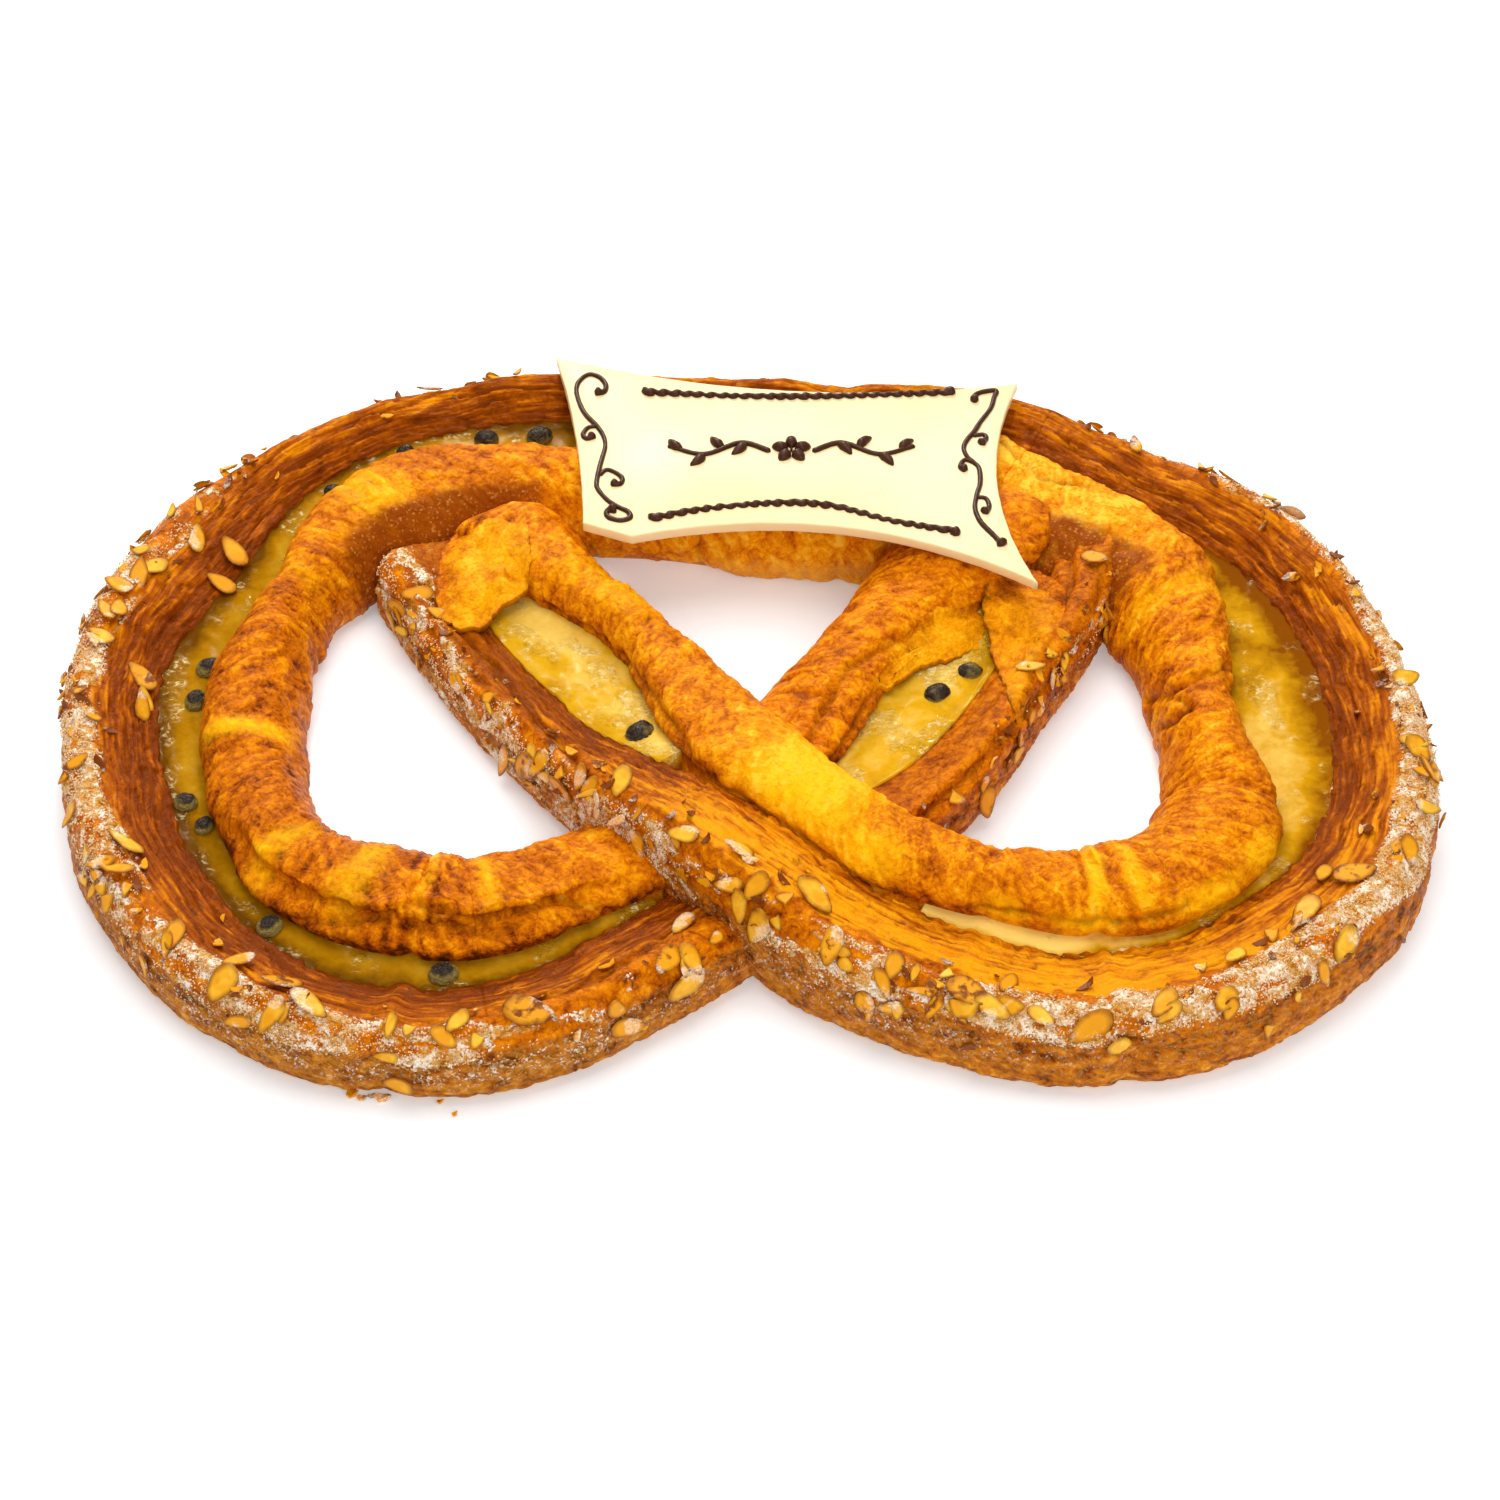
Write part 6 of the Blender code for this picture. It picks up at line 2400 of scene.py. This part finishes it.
    def build(self, finish: PlainFinish) -> bpy.types.Object:
        """Sweeps a round bead along every line with a Geometry Nodes tree.

        Args:
            finish: The look of the dark chocolate.

        Returns:
            The object.
        """
        g, given = start_tree("Piping", {"Sides": "Int", "Thickness": "Float"})
        width = g.node("GeometryNodeInputNamedAttribute", {"Name": "thickness"}, data_type="FLOAT")
        ring = g.node("GeometryNodeCurvePrimitiveCircle", {"Resolution": given["Sides"], "Radius": 1.0})
        inputs = {
            "Curve": g.node("GeometryNodeMeshToCurve", {0: given["Geometry"]}).outputs[0],
            "Profile Curve": ring.outputs[0],
            "Scale": g.value("MULTIPLY", width.outputs[0], given["Thickness"]),
            "Fill Caps": True,
        }
        swept = g.node("GeometryNodeCurveToMesh", inputs).outputs[0]
        soft = g.node("GeometryNodeSetShadeSmooth", {0: swept}).outputs[0]
        settings = {"Sides": self.sides, "Thickness": 1.0, "Material": finish.material()}
        return evaluated(self.wires(), g, soft, settings)


@dataclass
class Shards:
    """Thin chips of crust that stand up from the almond roll, and crumbs beside the kringle.

    Attributes:
        course: The rope that they stand on.
        count: How many places on it are tried.
        seed: Seed of the random draws.
        outline: Outline of one chip in mm.
        thickness_mm: Its thickness.
        crumbs: Where the crumbs lie on the table, in mm.
    """

    course: Course
    count: int = 260
    seed: int = 31
    outline: tuple[tuple[float, float], ...] = (
        ((-3, -0.9), (-1.2, -1.5), (1.4, -1.2), (3.1, -0.3)) + ((2.2, 0.8), (0.4, 1.3), (-1.7, 1.1))
    )
    thickness_mm: float = 0.56
    crumbs: tuple[tuple[float, float], ...] = (
        ((-152, -166), (-148, -168), (-144, -167)) + ((-140, -168), (-118, -170), (-112, -176))
    )

    def chip(self) -> bpy.types.Object:
        """One chip: a thin bent scrap about 6 mm long.

        Returns:
            The object.
        """
        size = len(self.outline)
        verts = []
        for side in (-0.5, 0.5):
            for x, y in self.outline:
                bent = 0.09 * x * x - 0.06 * y * y
                verts.append(Vector((x, y, bent + side * self.thickness_mm)) * MM)
        faces = [(j, (j + 1) % size, size + (j + 1) % size, size + j) for j in range(size)]
        faces.append(tuple(reversed(range(size))))
        faces.append(tuple(range(size, 2 * size)))
        mesh = bpy.data.meshes.new("chip")
        mesh.from_pydata(verts, [], faces)
        return linked("chip", mesh)

    def build(self, coat: bpy.types.Material) -> bpy.types.Object:
        """Scatters the chips over the crest, and a few crumbs on the table.

        Args:
            coat: The look of toasted crust.

        Returns:
            The object.
        """
        draw = np.random.default_rng(self.seed)
        stations = draw.uniform(0.7, 31.3, self.count)
        stations = stations[bare(stations)]
        count = len(stations)
        shares = np.clip(draw.normal(0.5, 0.13, count), 0.2, 0.9)
        points, axes = self.course.nut_points(self.course.at_station(stations), shares)
        points = points + axes[:, 2] * (draw.uniform(0.4, 1.4, count) * MM)[:, None]
        spins = draw.normal(0, 0.7, count)
        turns = euler_turns(axes, spins, draw.normal(0, 0.35, count), draw.normal(0, 0.4, count))
        ground = np.array([(x - ORIGIN[0], y - ORIGIN[1], 0.8) for x, y in self.crumbs]) * MM
        points = np.vstack([points, ground])
        turns = np.vstack([turns, draw.uniform(-0.5, 0.5, (len(ground), 3))])
        sizes = draw.uniform(0.45, 1.35, (len(points), 1)) * draw.uniform(0.8, 1.2, (len(points), 3))
        sizes[count:] *= (0.7, 0.9, 2.0)
        tints = draw.uniform(0.7, 1.3, len(points))
        tints[count:] = 0.9
        return scatter("crust_chips", (points, turns, sizes), tints, self.chip(), coat)


def build_floor(finish: PlainFinish) -> bpy.types.Object:
    """The pale table.

    Args:
        finish: Its look.

    Returns:
        The object.
    """
    half = 4.0
    corners = [(x, y, 0) for x, y in ((-half, -half), (half, -half), (half, half), (-half, half))]
    mesh = bpy.data.meshes.new("table")
    mesh.from_pydata(corners, [], [(0, 1, 2, 3)])
    mesh.materials.append(finish.material())
    return linked("table", mesh)


@dataclass
class Studio:
    """The camera and the lights.

    Attributes:
        target: The point that the camera looks at.
        distance: Its distance from there.
        elevation: Its angle above the table, in degrees.
        focal_px: Its focal length, in pixels of the image.
        image_px: Width of the image.
        sensor_mm: Width of the sensor.
        lamps: For each lamp: its name, place, power in watts, width and colour.
    """

    target: Point = (0.004, -0.029, 0.02)
    distance: float = 1.5
    elevation: float = 45.0
    focal_px: float = 3664.5
    image_px: float = 1500.0
    sensor_mm: float = 36.0
    lamps: tuple[tuple[str, Point, float, float, Colour], ...] = (
        ("overhead", (-0.1, 0.25, 1.4), 13.0, 1.2, (1.0, 0.99, 0.97)),
        ("front", (0.4, -1.4, 1.0), 9.0, 0.9, (1.0, 0.99, 0.98)),
        ("sparkle", (-0.2, 1.5, 0.95), 14.0, 0.2, (1.0, 0.96, 0.82)),
    )

    def build_lamp(self, name: str, place: Point, energy: float, size: float, colour: Colour) -> None:
        """A square soft light that faces the kringle.

        Args:
            name: Its name.
            place: Where it hangs.
            energy: Its power in watts.
            size: Its width.
            colour: Its colour.
        """
        data = bpy.data.lights.new(name, "AREA")
        data.energy, data.size, data.color = energy, size, colour
        obj = linked(name, data)
        obj.location = place
        obj.rotation_euler = (-Vector(place)).to_track_quat("-Z", "Y").to_euler()

    def build(self) -> None:
        """Sets up the world, the lights and the camera."""
        scene = bpy.context.scene
        world = bpy.data.worlds.new("Studio")
        world.use_nodes = True
        background = world.node_tree.nodes["Background"]
        Graph(world.node_tree).fill(background, {"Color": (1.0, 0.985, 0.97), "Strength": 0.6})
        scene.world = world
        for lamp in self.lamps:
            self.build_lamp(*lamp)
        camera = linked("camera", bpy.data.cameras.new("camera"))
        tilt = math.radians(self.elevation)
        away = Vector((0, -math.cos(tilt), math.sin(tilt))) * self.distance
        camera.location = Vector(self.target) + away
        camera.rotation_euler = (math.radians(90) - tilt, 0, 0)
        camera.data.sensor_width = self.sensor_mm
        camera.data.lens = self.focal_px / self.image_px * self.sensor_mm
        scene.camera = camera
        scene.view_settings.view_transform = "Standard"


def tell(obj: bpy.types.Object) -> None:
    """Logs how many faces a piece has."""
    log.info("%s: %d faces", obj.name, len(obj.data.polygons))


def build_filling(course: Course) -> None:
    """Builds the custard and the raisins.

    Args:
        course: The rope.
    """
    mustard = ((0.13, 0.045, 0.001), (0.38, 0.165, 0.001), (0.6, 0.34, 0.02))
    honey = ((0.22, 0.06, 0.001), (0.57, 0.28, 0.004), (0.88, 0.6, 0.14))
    butter = ((0.42, 0.17, 0.001), (0.64, 0.34, 0.007), (0.88, 0.62, 0.15))
    finishes = {
        "custard_right_arm": CustardFinish("Custard right arm", *butter),
        "custard_left_ring": CustardFinish("Custard left ring", *mustard),
        "custard_right_ring": CustardFinish("Custard right ring", *honey),
        "custard_left_arm": CustardFinish("Custard left arm", *butter),
    }
    for obj in Custard(course).build(finishes):
        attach(obj, BODY)
        tell(obj)
    raisins = Raisins(course).build(RaisinFinish())
    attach(raisins, BODY)
    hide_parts(*(f"raisin_{i:02d}" for i in range(1, len(RAISINS) + 1)))
    tell(raisins)


def build_nuts(course: Course) -> None:
    """Builds the almond flakes and the chips of crust.

    Args:
        course: The rope.
    """
    almond = AlmondFinish().material()
    for obj in AlmondFlakes(course).build(almond):
        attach(obj, BODY)
        tell(obj)
    chips = Shards(course).build(almond)
    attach(chips, BODY)
    tell(chips)


def build_sheets(coat: bpy.types.Material) -> None:
    """Builds the loose sheets of dough.

    Args:
        coat: The look of the dough.
    """
    folds = Folds()
    for sheet in SHEETS:
        obj = folds.build_sheet(sheet, coat)
        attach(obj, BODY)
        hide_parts("pastry")
        tell(obj)


def build_sugar(course: Course) -> None:
    """Builds the coarse sugar.

    Args:
        course: The rope.
    """
    white_sugar = PlainFinish("Sugar", (0.9, 0.7, 0.44), (0.72, 0.4, 0.13), 0.5, 0.003)
    grains = SugarCrystals(course).build(white_sugar)
    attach(grains, BODY)
    tell(grains)


def build_plaque() -> None:
    """Builds the white chocolate slab and the piping on it."""
    ivory = PlainFinish(
        "White chocolate", (0.9, 0.75, 0.46), (0.9, 0.7, 0.35), 0.4, 0.06, 0.1, glow=0.15, shine=0.3
    )
    cocoa = PlainFinish(
        "Dark chocolate", (0.06, 0.016, 0.003), (0.04, 0.009, 0.002), 0.35, 0.006, 0.2, shine=0.2
    )
    plaque = Plaque()
    slab = plaque.build_slab(ivory)
    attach(slab, BODY)
    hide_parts("plaque")
    tell(slab)
    piping = Piping(plaque).build(cocoa)
    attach(piping, BODY)
    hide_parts("plaque")
    tell(piping)


def main() -> None:
    """Builds every piece, and ties each to the frame."""
    course = Course()
    dough = DoughFinish().material()
    for obj in DoughRope(course).build(dough):
        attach(obj, BODY)
        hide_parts("pastry")
        tell(obj)
    build_filling(course)
    build_nuts(course)
    build_sheets(dough)
    build_sugar(course)
    build_plaque()
    pale = (0.93, 0.94, 0.96)
    floor = build_floor(PlainFinish("Table", pale, pale, 0.6, light=0.2))
    Studio().build()


if __name__ == "__main__":
    logging.basicConfig(level=logging.INFO, format="%(name)s %(message)s")
    main()
